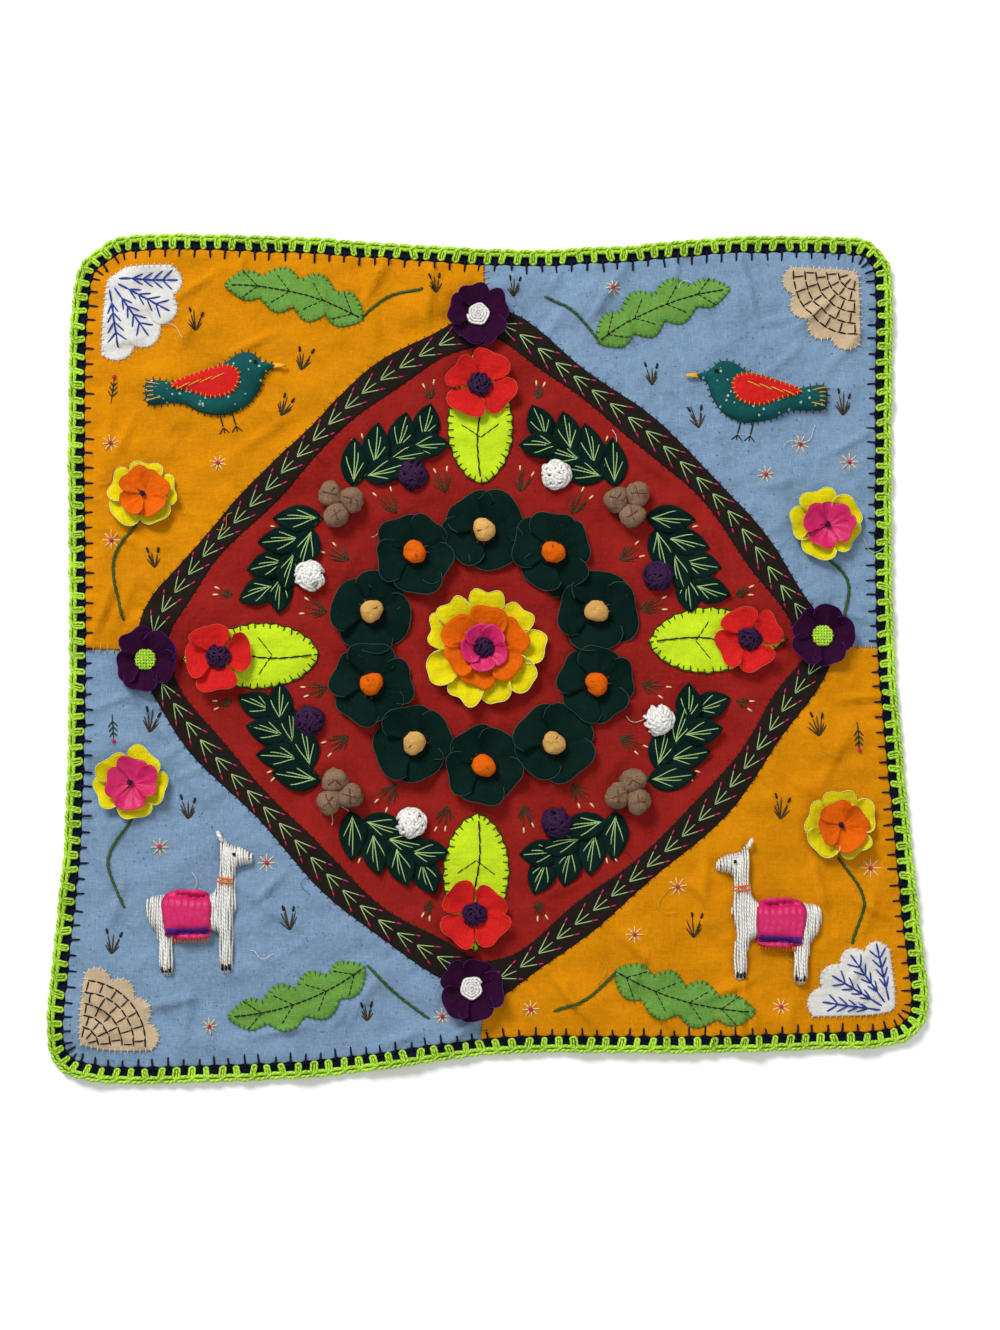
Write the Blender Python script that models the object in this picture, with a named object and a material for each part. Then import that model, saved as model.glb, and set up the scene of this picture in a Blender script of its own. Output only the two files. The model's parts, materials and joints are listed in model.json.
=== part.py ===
"""A square arpillera: a hand-sewn picture cloth, lying flat on a table.

Four dyed cloths are pieced over a navy backing, a crocheted edging runs round the rim, and padded
animals, layered flowers, leaves and stuffed berries are sewn on top. Lengths are in metres, +Z is up,
and +Y runs towards the top edge of the design.
"""

import math
from collections import namedtuple
from random import Random

import bmesh
import bpy
from mathutils import Matrix, Vector
from mathutils.bvhtree import BVHTree

MM = 0.001

# Layers, from the table upwards
PIECE_GAP = 0.3 * MM
BACKING_THICKNESS = 1.2 * MM
CLOTH_THICKNESS = 1.0 * MM
FIELD_BASE = BACKING_THICKNESS + PIECE_GAP
APPLIQUE_BASE = FIELD_BASE + CLOTH_THICKNESS + PIECE_GAP
OVERLAY_BASE = APPLIQUE_BASE + CLOTH_THICKNESS + PIECE_GAP
SEAM_GAP = 0.4 * MM

# Crocheted edging, measured inwards from the rim
STITCH_COUNT = 216
STATIONS_PER_STITCH = 2
CHAIN_WIDTH = 4.2 * MM
POST_REACH = 8.2 * MM
WINDOW_REACH = 5.4 * MM
RIM_ROUNDING = 1.4 * MM
POST_HEIGHT = 3.4 * MM
WINDOW_HEIGHT = 2.8 * MM
TIP_DROP = 0.5 * MM
CLOTH_EDGE_STEP = 3

# Lattice that carries the folds
LATTICE_PITCH = 16 * MM
LATTICE_CELLS = 30

# Pieced diamond in the middle
DESIGN_CENTRE = (-2 * MM, 3 * MM)
DIAMOND_POWER = 1.25
DIAMOND_POINTS = 64
RED_HALF = (162 * MM, 159 * MM)
FRAME_HALF = (180 * MM, 177 * MM)

# Sewn-on work
STEPS_PER_PETAL = 3
PETAL_FOOT = 0.36
PETAL_NOTCH = 0.74
WHORL_GAP = 0.45 * MM
WREATH_RADIUS = 60 * MM
ROSETTE_COUNT = 10
ROSETTE_RADIUS = 18.5 * MM
ROSETTE_LIFT = 0.2 * MM
WREATH_BAND = 12 * MM
WREATH_SIDES = 20
LONG_LEAF_START = 84 * MM
LONG_LEAF_LENGTH = 70 * MM
LONG_LEAF_HALF_WIDTH = 16.5 * MM
POPPY_DISTANCE = 135 * MM
TIP_FLOWER_DISTANCE = 172 * MM
NUT_DISTANCE = 104 * MM
NUT_SPREAD = 6.3 * MM
FROND_HALF_WIDTH = 13 * MM
FROND_LOBES = 4
FROND_STEPS = 28
ANIMAL_SEAT = 30 * MM
ANIMAL_HEIGHT = 6.5 * MM
ANIMAL_ROUNDING = 1.8 * MM

Knot = namedtuple("Knot", "radius height")
EdgePoint = namedtuple("EdgePoint", "x y")
Fold = namedtuple("Fold", "x y heading half_length half_width height")
Petals = namedtuple("Petals", "count radius cup")
Frond = namedtuple("Frond", "name x y heading length bend")
CornerFlower = namedtuple("CornerFlower", "name x y turn inner_cloth")
Animal = namedtuple("Animal", "name x y facing tilt")

# Outer rim of the edging in millimetres, anticlockwise from the lower left corner
RIM = [
    EdgePoint(-203, -214.5), EdgePoint(-178, -216.8), EdgePoint(-101, -214.2), EdgePoint(-60, -210.4),
    EdgePoint(-19, -204.5), EdgePoint(21, -201.2), EdgePoint(103, -201.3), EdgePoint(150, -200),
    EdgePoint(200, -198), EdgePoint(216, -191), EdgePoint(222, -176), EdgePoint(217.8, -133),
    EdgePoint(211.5, -62), EdgePoint(206.5, 10), EdgePoint(206.3, 100), EdgePoint(207.6, 186),
    EdgePoint(203, 206), EdgePoint(186, 215), EdgePoint(124, 215.2), EdgePoint(62, 210.3),
    EdgePoint(10, 209), EdgePoint(-40, 211.6), EdgePoint(-101, 215.7), EdgePoint(-176, 216.8),
    EdgePoint(-200, 210), EdgePoint(-213.2, 188), EdgePoint(-215, 105), EdgePoint(-213, 0),
    EdgePoint(-214.6, -92), EdgePoint(-219.6, -152), EdgePoint(-222, -194), EdgePoint(-216, -209),
]

# Soft ridges where the cloth doesn't lie quite flat, in millimetres and degrees
FOLDS = [
    Fold(-30, 190, 80, 36, 17, 2.3),
    Fold(52, 187, 70, 34, 17, 2.2),
    Fold(128, 192, 98, 34, 18, 2.7),
    Fold(-176, 196, 50, 38, 19, 2.2),
    Fold(196, 108, 62, 46, 18, 2.3),
    Fold(180, -40, 8, 38, 17, 2.2),
    Fold(60, -184, -48, 44, 19, 3.2),
    Fold(-22, -188, 34, 40, 18, 2.8),
    Fold(131, -186, 86, 32, 17, 2.6),
    Fold(-204, -184, -42, 40, 20, 2.8),
    Fold(-202, 30, 84, 50, 18, 2.2),
    Fold(-112, -200, 6, 38, 16, 2.2),
    Fold(92, -96, 42, 34, 16, 1.6),
    Fold(-96, 98, 40, 34, 16, 1.5),
]

# Padded silhouettes in millimetres, facing +X
LLAMA = [
    (-26, 8), (-23, 12), (-10, 12.5), (0, 11), (8, 13), (11, 22), (11.5, 33), (12.5, 41), (17, 36.5),
    (23, 35), (28, 31), (27.5, 27), (20, 25), (18.8, 16), (19, 6), (17, -3), (16.5, -26), (10.5, -26),
    (9.5, -8), (0, -7), (-12, -8), (-13.5, -26), (-19.5, -26), (-21, -8), (-25, -1),
]
BIRD = [
    (31, 6), (24, 9.5), (19, 14.5), (12, 15), (5, 11.5), (-8, 8), (-18, 4), (-35, 8), (-38, 1), (-36, -5),
    (-20, -7), (-10, -13), (2, -15.5), (14, -12), (21, -4), (24.5, 3),
]
SADDLE_CLOTH = [(-16, 13), (5, 13), (6.5, -3), (4, -9), (-14.5, -9), (-17, -3)]

ANIMALS = [
    Animal("w", -146, -134, 1, 2),
    Animal("e", 142, -138, -1, -3),
]
BIRDS = [
    Animal("w", -138, 138, 1, 8),
    Animal("e", 136, 134, -1, -6),
]
CORNER_FLOWERS = [
    CornerFlower("nw", -176, 82, 10, "orange"),
    CornerFlower("ne", 172, 66, 40, "magenta"),
    CornerFlower("sw", -180, -66, 65, "magenta"),
    CornerFlower("se", 178, -86, 25, "orange"),
]
FRONDS = [
    Frond("nw", -64, 172, 166, 74, 16),
    Frond("ne", 56, 160, 22, 74, -16),
    Frond("sw", -62, -158, 200, 74, -18),
    Frond("se", 64, -160, -16, 74, 16),
]

WREATH_PETALS = Petals(5, ROSETTE_RADIUS, 5 * MM)
CENTRE_OUTER = Petals(8, 31 * MM, 6 * MM)
CENTRE_INNER = Petals(6, 21 * MM, 6 * MM)
BERRY = Knot(5.3 * MM, 9.6 * MM)
NUT = Knot(6.4 * MM, 10.9 * MM)
CENTRE_KNOT = Knot(6.5 * MM, 5 * MM)
POPPY = Petals(5, 15.5 * MM, 5 * MM)
POPPY_KNOT = Knot(4.6 * MM, 3.6 * MM)
TIP_FLOWER = Petals(5, 15.5 * MM, 5.5 * MM)
CORNER_OUTER = Petals(5, 17.5 * MM, 4 * MM)
CORNER_INNER = Petals(4, 12.5 * MM, 5 * MM)

# Dyed cloth and yarn: colour, roughness
DYES = {
    "navy": ((0.012, 0.018, 0.05), 0.9),
    "lime": ((0.33, 0.72, 0.02), 0.75),
    "red": ((0.42, 0.02, 0.025), 0.85),
    "brown": ((0.035, 0.022, 0.018), 0.9),
    "ochre": ((0.78, 0.34, 0.01), 0.85),
    "blue": ((0.22, 0.37, 0.66), 0.9),
    "dark_green": ((0.006, 0.03, 0.022), 0.9),
    "neon": ((0.72, 0.93, 0.02), 0.8),
    "leaf_green": ((0.13, 0.37, 0.06), 0.85),
    "scarlet": ((0.85, 0.03, 0.03), 0.8),
    "orange": ((0.95, 0.2, 0.01), 0.8),
    "yellow": ((0.95, 0.8, 0.02), 0.8),
    "magenta": ((0.62, 0.01, 0.14), 0.6),
    "purple": ((0.06, 0.01, 0.06), 0.85),
    "cream": ((0.82, 0.6, 0.3), 0.85),
    "white": ((0.8, 0.78, 0.74), 0.9),
    "tan": ((0.5, 0.33, 0.2), 0.9),
    "teal": ((0.01, 0.25, 0.22), 0.85),
}


def clear_scene():
    for old in list(bpy.data.objects):
        bpy.data.objects.remove(old)


def new_collection(name):
    made = bpy.data.collections.new(name)
    bpy.context.scene.collection.children.link(made)
    return made


def dye(name):
    """The cloth or yarn material of that colour, made once."""
    if name in bpy.data.materials:
        return bpy.data.materials[name]
    colour, roughness = DYES[name]
    material = bpy.data.materials.new(name)
    material.use_nodes = True
    shader = material.node_tree.nodes["Principled BSDF"]
    shader.inputs["Base Color"].default_value = (*colour, 1)
    shader.inputs["Roughness"].default_value = roughness
    shader.inputs["Metallic"].default_value = 0
    material.diffuse_color = (*colour, 1)
    return material


def object_from(name, bm, collection, material=None):
    bmesh.ops.recalc_face_normals(bm, faces=bm.faces)
    mesh = bpy.data.meshes.new(name)
    bm.to_mesh(mesh)
    bm.free()
    made = bpy.data.objects.new(name, mesh)
    collection.objects.link(made)
    if material:
        mesh.materials.append(dye(material))
    return made


def smooth_closed(points, count):
    """Points evenly spaced by length along the smooth closed curve through the given ones."""
    fine = []
    total = len(points)
    steps = 24
    for i in range(total):
        before, here, after, beyond = (Vector(points[(i + k) % total]) for k in (-1, 0, 1, 2))
        for step in range(steps):
            t = step / steps
            fine.append(
                0.5 * (2 * here + (after - before) * t
                       + (2 * before - 5 * here + 4 * after - beyond) * t * t
                       + (3 * here - before - 3 * after + beyond) * t ** 3)
            )
    lengths = [0.0]
    for i in range(len(fine)):
        lengths.append(lengths[-1] + (fine[(i + 1) % len(fine)] - fine[i]).length)
    spaced = []
    at = 0
    for k in range(count):
        wanted = lengths[-1] * k / count
        while lengths[at + 1] < wanted:
            at += 1
        share = (wanted - lengths[at]) / (lengths[at + 1] - lengths[at])
        spaced.append(fine[at].lerp(fine[(at + 1) % len(fine)], share))
    return spaced


def centred(points):
    """An outline in millimetres made metres, its box centred on the origin."""
    xs = [p.x for p in points]
    ys = [p.y for p in points]
    middle = Vector(((min(xs) + max(xs)) / 2, (min(ys) + max(ys)) / 2))
    return [(p - middle) * MM for p in points]


def inward(points, index):
    """Unit vector into an anticlockwise outline at one of its points."""
    along = points[(index + 1) % len(points)] - points[index - 1]
    return Vector((-along.y, along.x)).normalized()


def inset(points, distance):
    return [p + inward(points, i) * distance for i, p in enumerate(points)]


def bump(t):
    """A smooth hump, 1 in the middle and 0 beyond 1."""
    return math.cos(math.pi * t / 2) ** 2 if abs(t) < 1 else 0.0


def fold_height(x, y):
    """Height that the folds lift the cloth to at a point of the plan."""
    height = 0.0
    for fold in FOLDS:
        heading = math.radians(fold.heading)
        dx = x / MM - fold.x
        dy = y / MM - fold.y
        along = (dx * math.cos(heading) + dy * math.sin(heading)) / fold.half_length
        across = (dy * math.cos(heading) - dx * math.sin(heading)) / fold.half_width
        height += fold.height * bump(along) * bump(across)
    return height * MM


def lattice():
    """The folded surface as a triangulated grid."""
    bm = bmesh.new()
    half = LATTICE_PITCH * LATTICE_CELLS / 2
    bmesh.ops.create_grid(bm, x_segments=LATTICE_CELLS, y_segments=LATTICE_CELLS, size=half)
    for vertex in bm.verts:
        vertex.co.z = fold_height(vertex.co.x, vertex.co.y)
    bmesh.ops.triangulate(bm, faces=bm.faces, quad_method="FIXED")
    return bm


def surface_tree():
    bm = lattice()
    tree = BVHTree.FromBMesh(bm)
    bm.free()
    return tree


def cloth_height(tree, point):
    """Height of the faceted folds under a point of the plan."""
    hit = tree.ray_cast(Vector((point[0], point[1], 1.0)), Vector((0, 0, -1)))
    return hit[0].z


def seat_height(tree, x, y, radius, base):
    """Lowest height at which a rigid piece of that radius clears the layer at base."""
    heights = [cloth_height(tree, (x, y))]
    for ring in (0.5, 1.0):
        for k in range(16):
            angle = math.tau * k / 16
            heights.append(cloth_height(tree, (x + ring * radius * math.cos(angle),
                                               y + ring * radius * math.sin(angle))))
    return max(heights) + base


def folded_sheet(name, base, thickness, collection, material):
    """A sheet that follows the folds, wider than the cloth, before it is cut to its outline."""
    bm = lattice()
    bmesh.ops.translate(bm, verts=bm.verts, vec=(0, 0, base))
    upper = bmesh.ops.extrude_face_region(bm, geom=bm.faces)
    raised = [part for part in upper["geom"] if isinstance(part, bmesh.types.BMVert)]
    bmesh.ops.translate(bm, verts=raised, vec=(0, 0, thickness))
    return object_from(name, bm, collection, material)


def outline_solid(name, points, low, high, collection):
    """A straight-sided solid over a flat outline, made a mesh so that it can be cut or can cut."""
    curve = bpy.data.curves.new(name, "CURVE")
    curve.dimensions = "2D"
    curve.fill_mode = "BOTH"
    curve.extrude = (high - low) / 2
    spline = curve.splines.new("POLY")
    spline.points.add(len(points) - 1)
    for slot, point in zip(spline.points, points):
        slot.co = (point[0], point[1], 0, 1)
    spline.use_cyclic_u = True
    drawn = bpy.data.objects.new(name + "_curve", curve)
    collection.objects.link(drawn)
    drawn.location.z = (low + high) / 2
    bpy.context.view_layer.update()
    evaluated = drawn.evaluated_get(bpy.context.evaluated_depsgraph_get())
    mesh = bpy.data.meshes.new_from_object(evaluated)
    bm = bmesh.new()
    bm.from_mesh(mesh)
    bmesh.ops.remove_doubles(bm, verts=bm.verts, dist=0.00001)
    bmesh.ops.recalc_face_normals(bm, faces=bm.faces)
    bm.to_mesh(mesh)
    bm.free()
    mesh.materials.clear()
    solid = bpy.data.objects.new(name, mesh)
    collection.objects.link(solid)
    solid.matrix_world = drawn.matrix_world.copy()
    bpy.data.objects.remove(drawn)
    return solid


def cutter(name, points, cutters):
    solid = outline_solid(name, points, -20 * MM, 40 * MM, cutters)
    solid.hide_render = True
    solid.display_type = "WIRE"
    return solid


def cut(piece, operation, tool):
    modifier = piece.modifiers.new(operation.lower(), "BOOLEAN")
    modifier.operation = operation
    modifier.object = tool


def wavy_diamond(half, seed):
    """A diamond with bulging, hand-cut sides round the centre of the design."""
    draw = Random(seed)
    slow, fast = draw.uniform(0, math.tau), draw.uniform(0, math.tau)
    points = []
    for k in range(DIAMOND_POINTS):
        angle = math.tau * k / DIAMOND_POINTS
        wave = 1 + 0.010 * math.sin(9 * angle + slow) + 0.007 * math.sin(16 * angle + fast)
        c, s = math.cos(angle), math.sin(angle)
        x = half[0] * math.copysign(abs(c) ** (2 / DIAMOND_POWER), c) * wave
        y = half[1] * math.copysign(abs(s) ** (2 / DIAMOND_POWER), s) * wave
        points.append(Vector((x + DESIGN_CENTRE[0], y + DESIGN_CENTRE[1])))
    return points


def quadrant(side_x, side_y):
    """The part of the plan beyond the two axes of the design, on one side of each."""
    reach = LATTICE_PITCH * LATTICE_CELLS / 2
    near_x = DESIGN_CENTRE[0] + side_x * SEAM_GAP / 2
    near_y = DESIGN_CENTRE[1] + side_y * SEAM_GAP / 2
    far_x, far_y = side_x * reach, side_y * reach
    corners = [(near_x, near_y), (far_x, near_y), (far_x, far_y), (near_x, far_y)]
    return corners if side_x * side_y > 0 else corners[::-1]


def build_cloths(rim, parts, cutters):
    """The backing and the pieced cloths over it."""
    edge = rim[::CLOTH_EDGE_STEP]
    backing = folded_sheet("backing_cloth", 0, BACKING_THICKNESS, parts, "navy")
    cut(backing, "INTERSECT", cutter("backing_outline", inset(edge, CHAIN_WIDTH + PIECE_GAP), cutters))

    red_outline = wavy_diamond(RED_HALF, 3)
    frame_outline = wavy_diamond(FRAME_HALF, 8)
    red = folded_sheet("diamond_cloth_red", FIELD_BASE, CLOTH_THICKNESS, parts, "red")
    cut(red, "INTERSECT", cutter("red_outline", red_outline, cutters))
    frame = folded_sheet("frame_cloth_brown", FIELD_BASE, CLOTH_THICKNESS, parts, "brown")
    cut(frame, "INTERSECT", cutter("frame_outline", frame_outline, cutters))
    cut(frame, "DIFFERENCE", cutter("frame_hole", inset(red_outline, -SEAM_GAP), cutters))

    panel = cutter("panel_outline", inset(edge, POST_REACH + SEAM_GAP), cutters)
    window = cutter("corner_hole", inset(frame_outline, -SEAM_GAP), cutters)
    for name, side_x, side_y, colour in (
        ("nw", -1, 1, "ochre"), ("ne", 1, 1, "blue"), ("sw", -1, -1, "blue"), ("se", 1, -1, "ochre"),
    ):
        corner = folded_sheet(f"corner_cloth_{name}", FIELD_BASE, CLOTH_THICKNESS, parts, colour)
        cut(corner, "INTERSECT", panel)
        cut(corner, "INTERSECT", cutter(f"quadrant_{name}", quadrant(side_x, side_y), cutters))
        cut(corner, "DIFFERENCE", window)


def build_edging(rim, tree, parts):
    """The crocheted edging: a chain round the rim, and posts that reach in over the backing."""
    bm = bmesh.new()
    rings = []
    for k, point in enumerate(rim):
        post = k % STATIONS_PER_STITCH == 0
        crest = POST_HEIGHT if post else WINDOW_HEIGHT
        section = [
            (0.0, 0.0),
            (RIM_ROUNDING, crest),
            (POST_REACH if post else WINDOW_REACH, crest - TIP_DROP),
            (CHAIN_WIDTH, BACKING_THICKNESS + 2 * PIECE_GAP),
            (CHAIN_WIDTH, 0.0),
        ]
        into = inward(rim, k)
        ring = []
        for reach, height in section:
            place = point + into * reach
            ring.append(bm.verts.new((place.x, place.y, height + cloth_height(tree, place))))
        rings.append(ring)
    for k, ring in enumerate(rings):
        following = rings[(k + 1) % len(rings)]
        for i in range(len(ring)):
            j = (i + 1) % len(ring)
            bm.faces.new((ring[i], ring[j], following[j], following[i]))
    bmesh.ops.triangulate(bm, faces=bm.faces, quad_method="FIXED")
    return object_from("crochet_edging", bm, parts, "lime")


def thicken(bm):
    """An open sheet made one cloth's thickness deep, upwards."""
    upper = bmesh.ops.extrude_face_region(bm, geom=bm.faces)
    raised = [part for part in upper["geom"] if isinstance(part, bmesh.types.BMVert)]
    bmesh.ops.translate(bm, verts=raised, vec=(0, 0, CLOTH_THICKNESS))


def whorl_mesh(petals, turn, seed):
    """A cupped whorl of petals cut from one cloth, its middle at the origin."""
    draw = Random(seed)
    steps = petals.count * STEPS_PER_PETAL
    near = PETAL_FOOT * petals.radius
    bm = bmesh.new()
    foot, rim = [], []
    for k in range(steps):
        angle = math.tau * k / steps + math.radians(turn)
        notch = k % STEPS_PER_PETAL == 0
        reach = petals.radius * ((PETAL_NOTCH if notch else 1.0) + draw.uniform(-0.04, 0.04))
        lift = petals.cup * ((0.85 if notch else 1.0) + draw.uniform(-0.2, 0.2))
        foot.append(bm.verts.new((near * math.cos(angle), near * math.sin(angle), 0)))
        rim.append(bm.verts.new((reach * math.cos(angle), reach * math.sin(angle), lift)))
    bm.faces.new(foot)
    for k in range(steps):
        j = (k + 1) % steps
        bm.faces.new((foot[k], rim[k], rim[j]))
        bm.faces.new((foot[k], rim[j], foot[j]))
    thicken(bm)
    return bm


def whorl(name, x, y, z, petals, turn, seed, parts, material):
    made = object_from(name, whorl_mesh(petals, turn, seed), parts, material)
    made.location = (x, y, z)
    return made


def knob(name, x, y, z, size, parts, material, segments=8, rings=5):
    """A stuffed ball or a knot of yarn that stands on height z."""
    bm = bmesh.new()
    bmesh.ops.create_uvsphere(bm, u_segments=segments, v_segments=rings, radius=1.0)
    bmesh.ops.scale(bm, verts=bm.verts, vec=(size.radius, size.radius, size.height / 2))
    made = object_from(name, bm, parts, material)
    made.location = (x, y, z + size.height / 2)
    return made


def ring_mesh(inner, outer, steps):
    """A flat ring of cloth round the origin."""
    bm = bmesh.new()
    near, far = [], []
    for k in range(steps):
        angle = math.tau * k / steps
        near.append(bm.verts.new((inner * math.cos(angle), inner * math.sin(angle), 0)))
        far.append(bm.verts.new((outer * math.cos(angle), outer * math.sin(angle), 0)))
    for k in range(steps):
        j = (k + 1) % steps
        bm.faces.new((near[k], far[k], far[j], near[j]))
    thicken(bm)
    return bm


def build_centre(tree, parts, cutters):
    """The wreath of rosettes with its berries, and the layered flower inside it."""
    cx, cy = DESIGN_CENTRE
    z = seat_height(tree, cx, cy, WREATH_RADIUS + ROSETTE_RADIUS, APPLIQUE_BASE)
    bm = ring_mesh(WREATH_RADIUS - WREATH_BAND / 2, WREATH_RADIUS + WREATH_BAND / 2, WREATH_SIDES)
    bmesh.ops.translate(bm, verts=bm.verts, vec=(cx, cy, z))
    wreath = object_from("wreath_cloth_green", bm, parts, "dark_green")
    z += ROSETTE_LIFT
    for k in range(ROSETTE_COUNT):
        angle = math.tau * (k + 0.5) / ROSETTE_COUNT
        x, y = cx + WREATH_RADIUS * math.cos(angle), cy + WREATH_RADIUS * math.sin(angle)
        bm = whorl_mesh(WREATH_PETALS, 17 * k, 20 + k)
        bmesh.ops.translate(bm, verts=bm.verts, vec=(x, y, z))
        rosette = object_from(f"rosette_{k}", bm, cutters)
        rosette.hide_render = True
        rosette.display_type = "WIRE"
        cut(wreath, "UNION", rosette)
        colour = "orange" if k % 2 else "cream"
        knob(f"berry_{k:02d}", x, y, z + CLOTH_THICKNESS + PIECE_GAP, BERRY, parts, colour)

    z = seat_height(tree, cx, cy, CENTRE_OUTER.radius, APPLIQUE_BASE)
    layer = CLOTH_THICKNESS + WHORL_GAP
    whorl("centre_petals_outer", cx, cy, z, CENTRE_OUTER, 4, 5, parts, "yellow")
    whorl("centre_petals_inner", cx, cy, z + layer, CENTRE_INNER, 20, 6, parts, "scarlet")
    knob("centre_knot", cx, cy, z + 2 * layer, CENTRE_KNOT, parts, "purple", 10, 5)


def leaf_outline(length, half_width, steps):
    """A pointed leaf along +X from the origin."""
    upper = []
    for k in range(1, steps):
        share = k / steps
        width = half_width * math.sin(math.pi * share ** 0.8) ** 0.75
        upper.append(Vector((length * share, width)))
    lower = [Vector((p.x, -p.y)) for p in upper]
    return [Vector((0, 0)), *lower, Vector((length, 0)), *reversed(upper)]


def midrib(frond, share):
    """The place on a frond's bent midrib, and the direction across it."""
    heading = math.radians(frond.heading + frond.bend * (2 * share - 1))
    chord = math.radians(frond.heading + frond.bend * (share - 1))
    reach = frond.length * share
    place = Vector((frond.x + reach * math.cos(chord), frond.y + reach * math.sin(chord))) * MM
    return place, Vector((-math.sin(heading), math.cos(heading)))


def frond_outline(frond):
    """A lobed leaf cut from one cloth."""
    left, right = [], []
    for k in range(1, FROND_STEPS):
        share = k / FROND_STEPS
        lobe = 0.58 + 0.42 * abs(math.sin(math.pi * FROND_LOBES * share))
        width = FROND_HALF_WIDTH * math.sin(math.pi * share ** 0.85) ** 0.5 * lobe
        place, side = midrib(frond, share)
        left.append(place + side * width)
        right.append(place - side * width)
    return [midrib(frond, 0)[0], *right, midrib(frond, 1)[0], *reversed(left)]


def placed(points, x, y, turn, mirror=1):
    """Outline points mirrored, turned and moved to their place."""
    turned = Matrix.Rotation(math.radians(turn), 2)
    moved = [turned @ Vector((p[0] * mirror, p[1])) + Vector((x, y)) for p in points]
    return moved if mirror > 0 else moved[::-1]


def build_leaves(parts, cutters):
    """The long leaves that point to the tips of the diamond, and the lobed fronds in the corners."""
    cx, cy = DESIGN_CENTRE
    outline = leaf_outline(LONG_LEAF_LENGTH, LONG_LEAF_HALF_WIDTH, 10)
    for name, turn in (("e", 2), ("n", 91), ("w", 182), ("s", 268)):
        angle = math.radians(turn)
        x, y = cx + LONG_LEAF_START * math.cos(angle), cy + LONG_LEAF_START * math.sin(angle)
        leaf = folded_sheet(f"long_leaf_{name}", APPLIQUE_BASE, CLOTH_THICKNESS, parts, "neon")
        cut(leaf, "INTERSECT", cutter(f"long_leaf_outline_{name}", placed(outline, x, y, turn), cutters))
    for frond in FRONDS:
        leaf = folded_sheet(f"frond_{frond.name}", APPLIQUE_BASE, CLOTH_THICKNESS, parts, "leaf_green")
        cut(leaf, "INTERSECT", cutter(f"frond_outline_{frond.name}", frond_outline(frond), cutters))


def build_flowers(tree, parts):
    """Poppies on the long leaves, dark flowers at the diamond's tips, layered flowers in the corners."""
    cx, cy = DESIGN_CENTRE
    for k, (name, turn) in enumerate((("e", 2), ("n", 91), ("w", 182), ("s", 268))):
        c, s = math.cos(math.radians(turn)), math.sin(math.radians(turn))
        x, y = cx + POPPY_DISTANCE * c, cy + POPPY_DISTANCE * s
        z = seat_height(tree, x, y, POPPY.radius, OVERLAY_BASE)
        whorl(f"poppy_petals_{name}", x, y, z, POPPY, 30 * k, 40 + k, parts, "scarlet")
        knob(f"poppy_knot_{name}", x, y, z + CLOTH_THICKNESS + PIECE_GAP, POPPY_KNOT, parts, "purple", 8, 4)
        x, y = cx + TIP_FLOWER_DISTANCE * c, cy + TIP_FLOWER_DISTANCE * s
        z = seat_height(tree, x, y, TIP_FLOWER.radius, APPLIQUE_BASE)
        whorl(f"tip_flower_{name}", x, y, z, TIP_FLOWER, 25 * k, 50 + k, parts, "purple")
    for k, flower in enumerate(CORNER_FLOWERS):
        x, y = flower.x * MM, flower.y * MM
        z = seat_height(tree, x, y, CORNER_OUTER.radius, APPLIQUE_BASE)
        whorl(f"corner_flower_outer_{flower.name}", x, y, z, CORNER_OUTER, flower.turn, 60 + k, parts,
              "yellow")
        whorl(f"corner_flower_inner_{flower.name}", x, y, z + CLOTH_THICKNESS + WHORL_GAP,
              CORNER_INNER, flower.turn + 30, 70 + k, parts, flower.inner_cloth)


def build_nuts(tree, parts, cutters):
    """Clusters of three stuffed nuts on the diagonals of the diamond."""
    cx, cy = DESIGN_CENTRE
    for k, name in enumerate(("ne", "nw", "sw", "se")):
        angle = math.radians(45 + 90 * k)
        x, y = cx + NUT_DISTANCE * math.cos(angle), cy + NUT_DISTANCE * math.sin(angle)
        z = seat_height(tree, x, y, NUT_SPREAD + NUT.radius, APPLIQUE_BASE)
        cluster = None
        for nut in range(3):
            around = angle + math.tau * nut / 3
            nut_x = x + NUT_SPREAD * math.cos(around)
            nut_y = y + NUT_SPREAD * math.sin(around)
            place = cutters if cluster else parts
            label = f"nut_{name}_{nut}" if cluster else f"nuts_{name}"
            made = knob(label, nut_x, nut_y, z, NUT, place, "tan")
            if cluster:
                made.hide_render = True
                made.display_type = "WIRE"
                cut(cluster, "UNION", made)
            else:
                cluster = made


def padded_silhouette(name, points, base, cutters, parts, material):
    """A stuffed piece over an outline, its upper edge rounded."""
    solid = outline_solid(name, points, base, base + ANIMAL_HEIGHT, cutters)
    cutters.objects.unlink(solid)
    parts.objects.link(solid)
    bm = bmesh.new()
    bm.from_mesh(solid.data)
    top = max(v.co.z for v in bm.verts)
    crown = [e for e in bm.edges if e.is_manifold and all(v.co.z > top - 1e-6 for v in e.verts)
             and any(abs(f.normal.z) < 0.5 for f in e.link_faces)]
    bmesh.ops.bevel(bm, geom=crown, offset=ANIMAL_ROUNDING, segments=2, affect="EDGES",
                    profile=0.5, clamp_overlap=True)
    bm.to_mesh(solid.data)
    bm.free()
    solid.data.materials.append(dye(material))
    return solid


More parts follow.
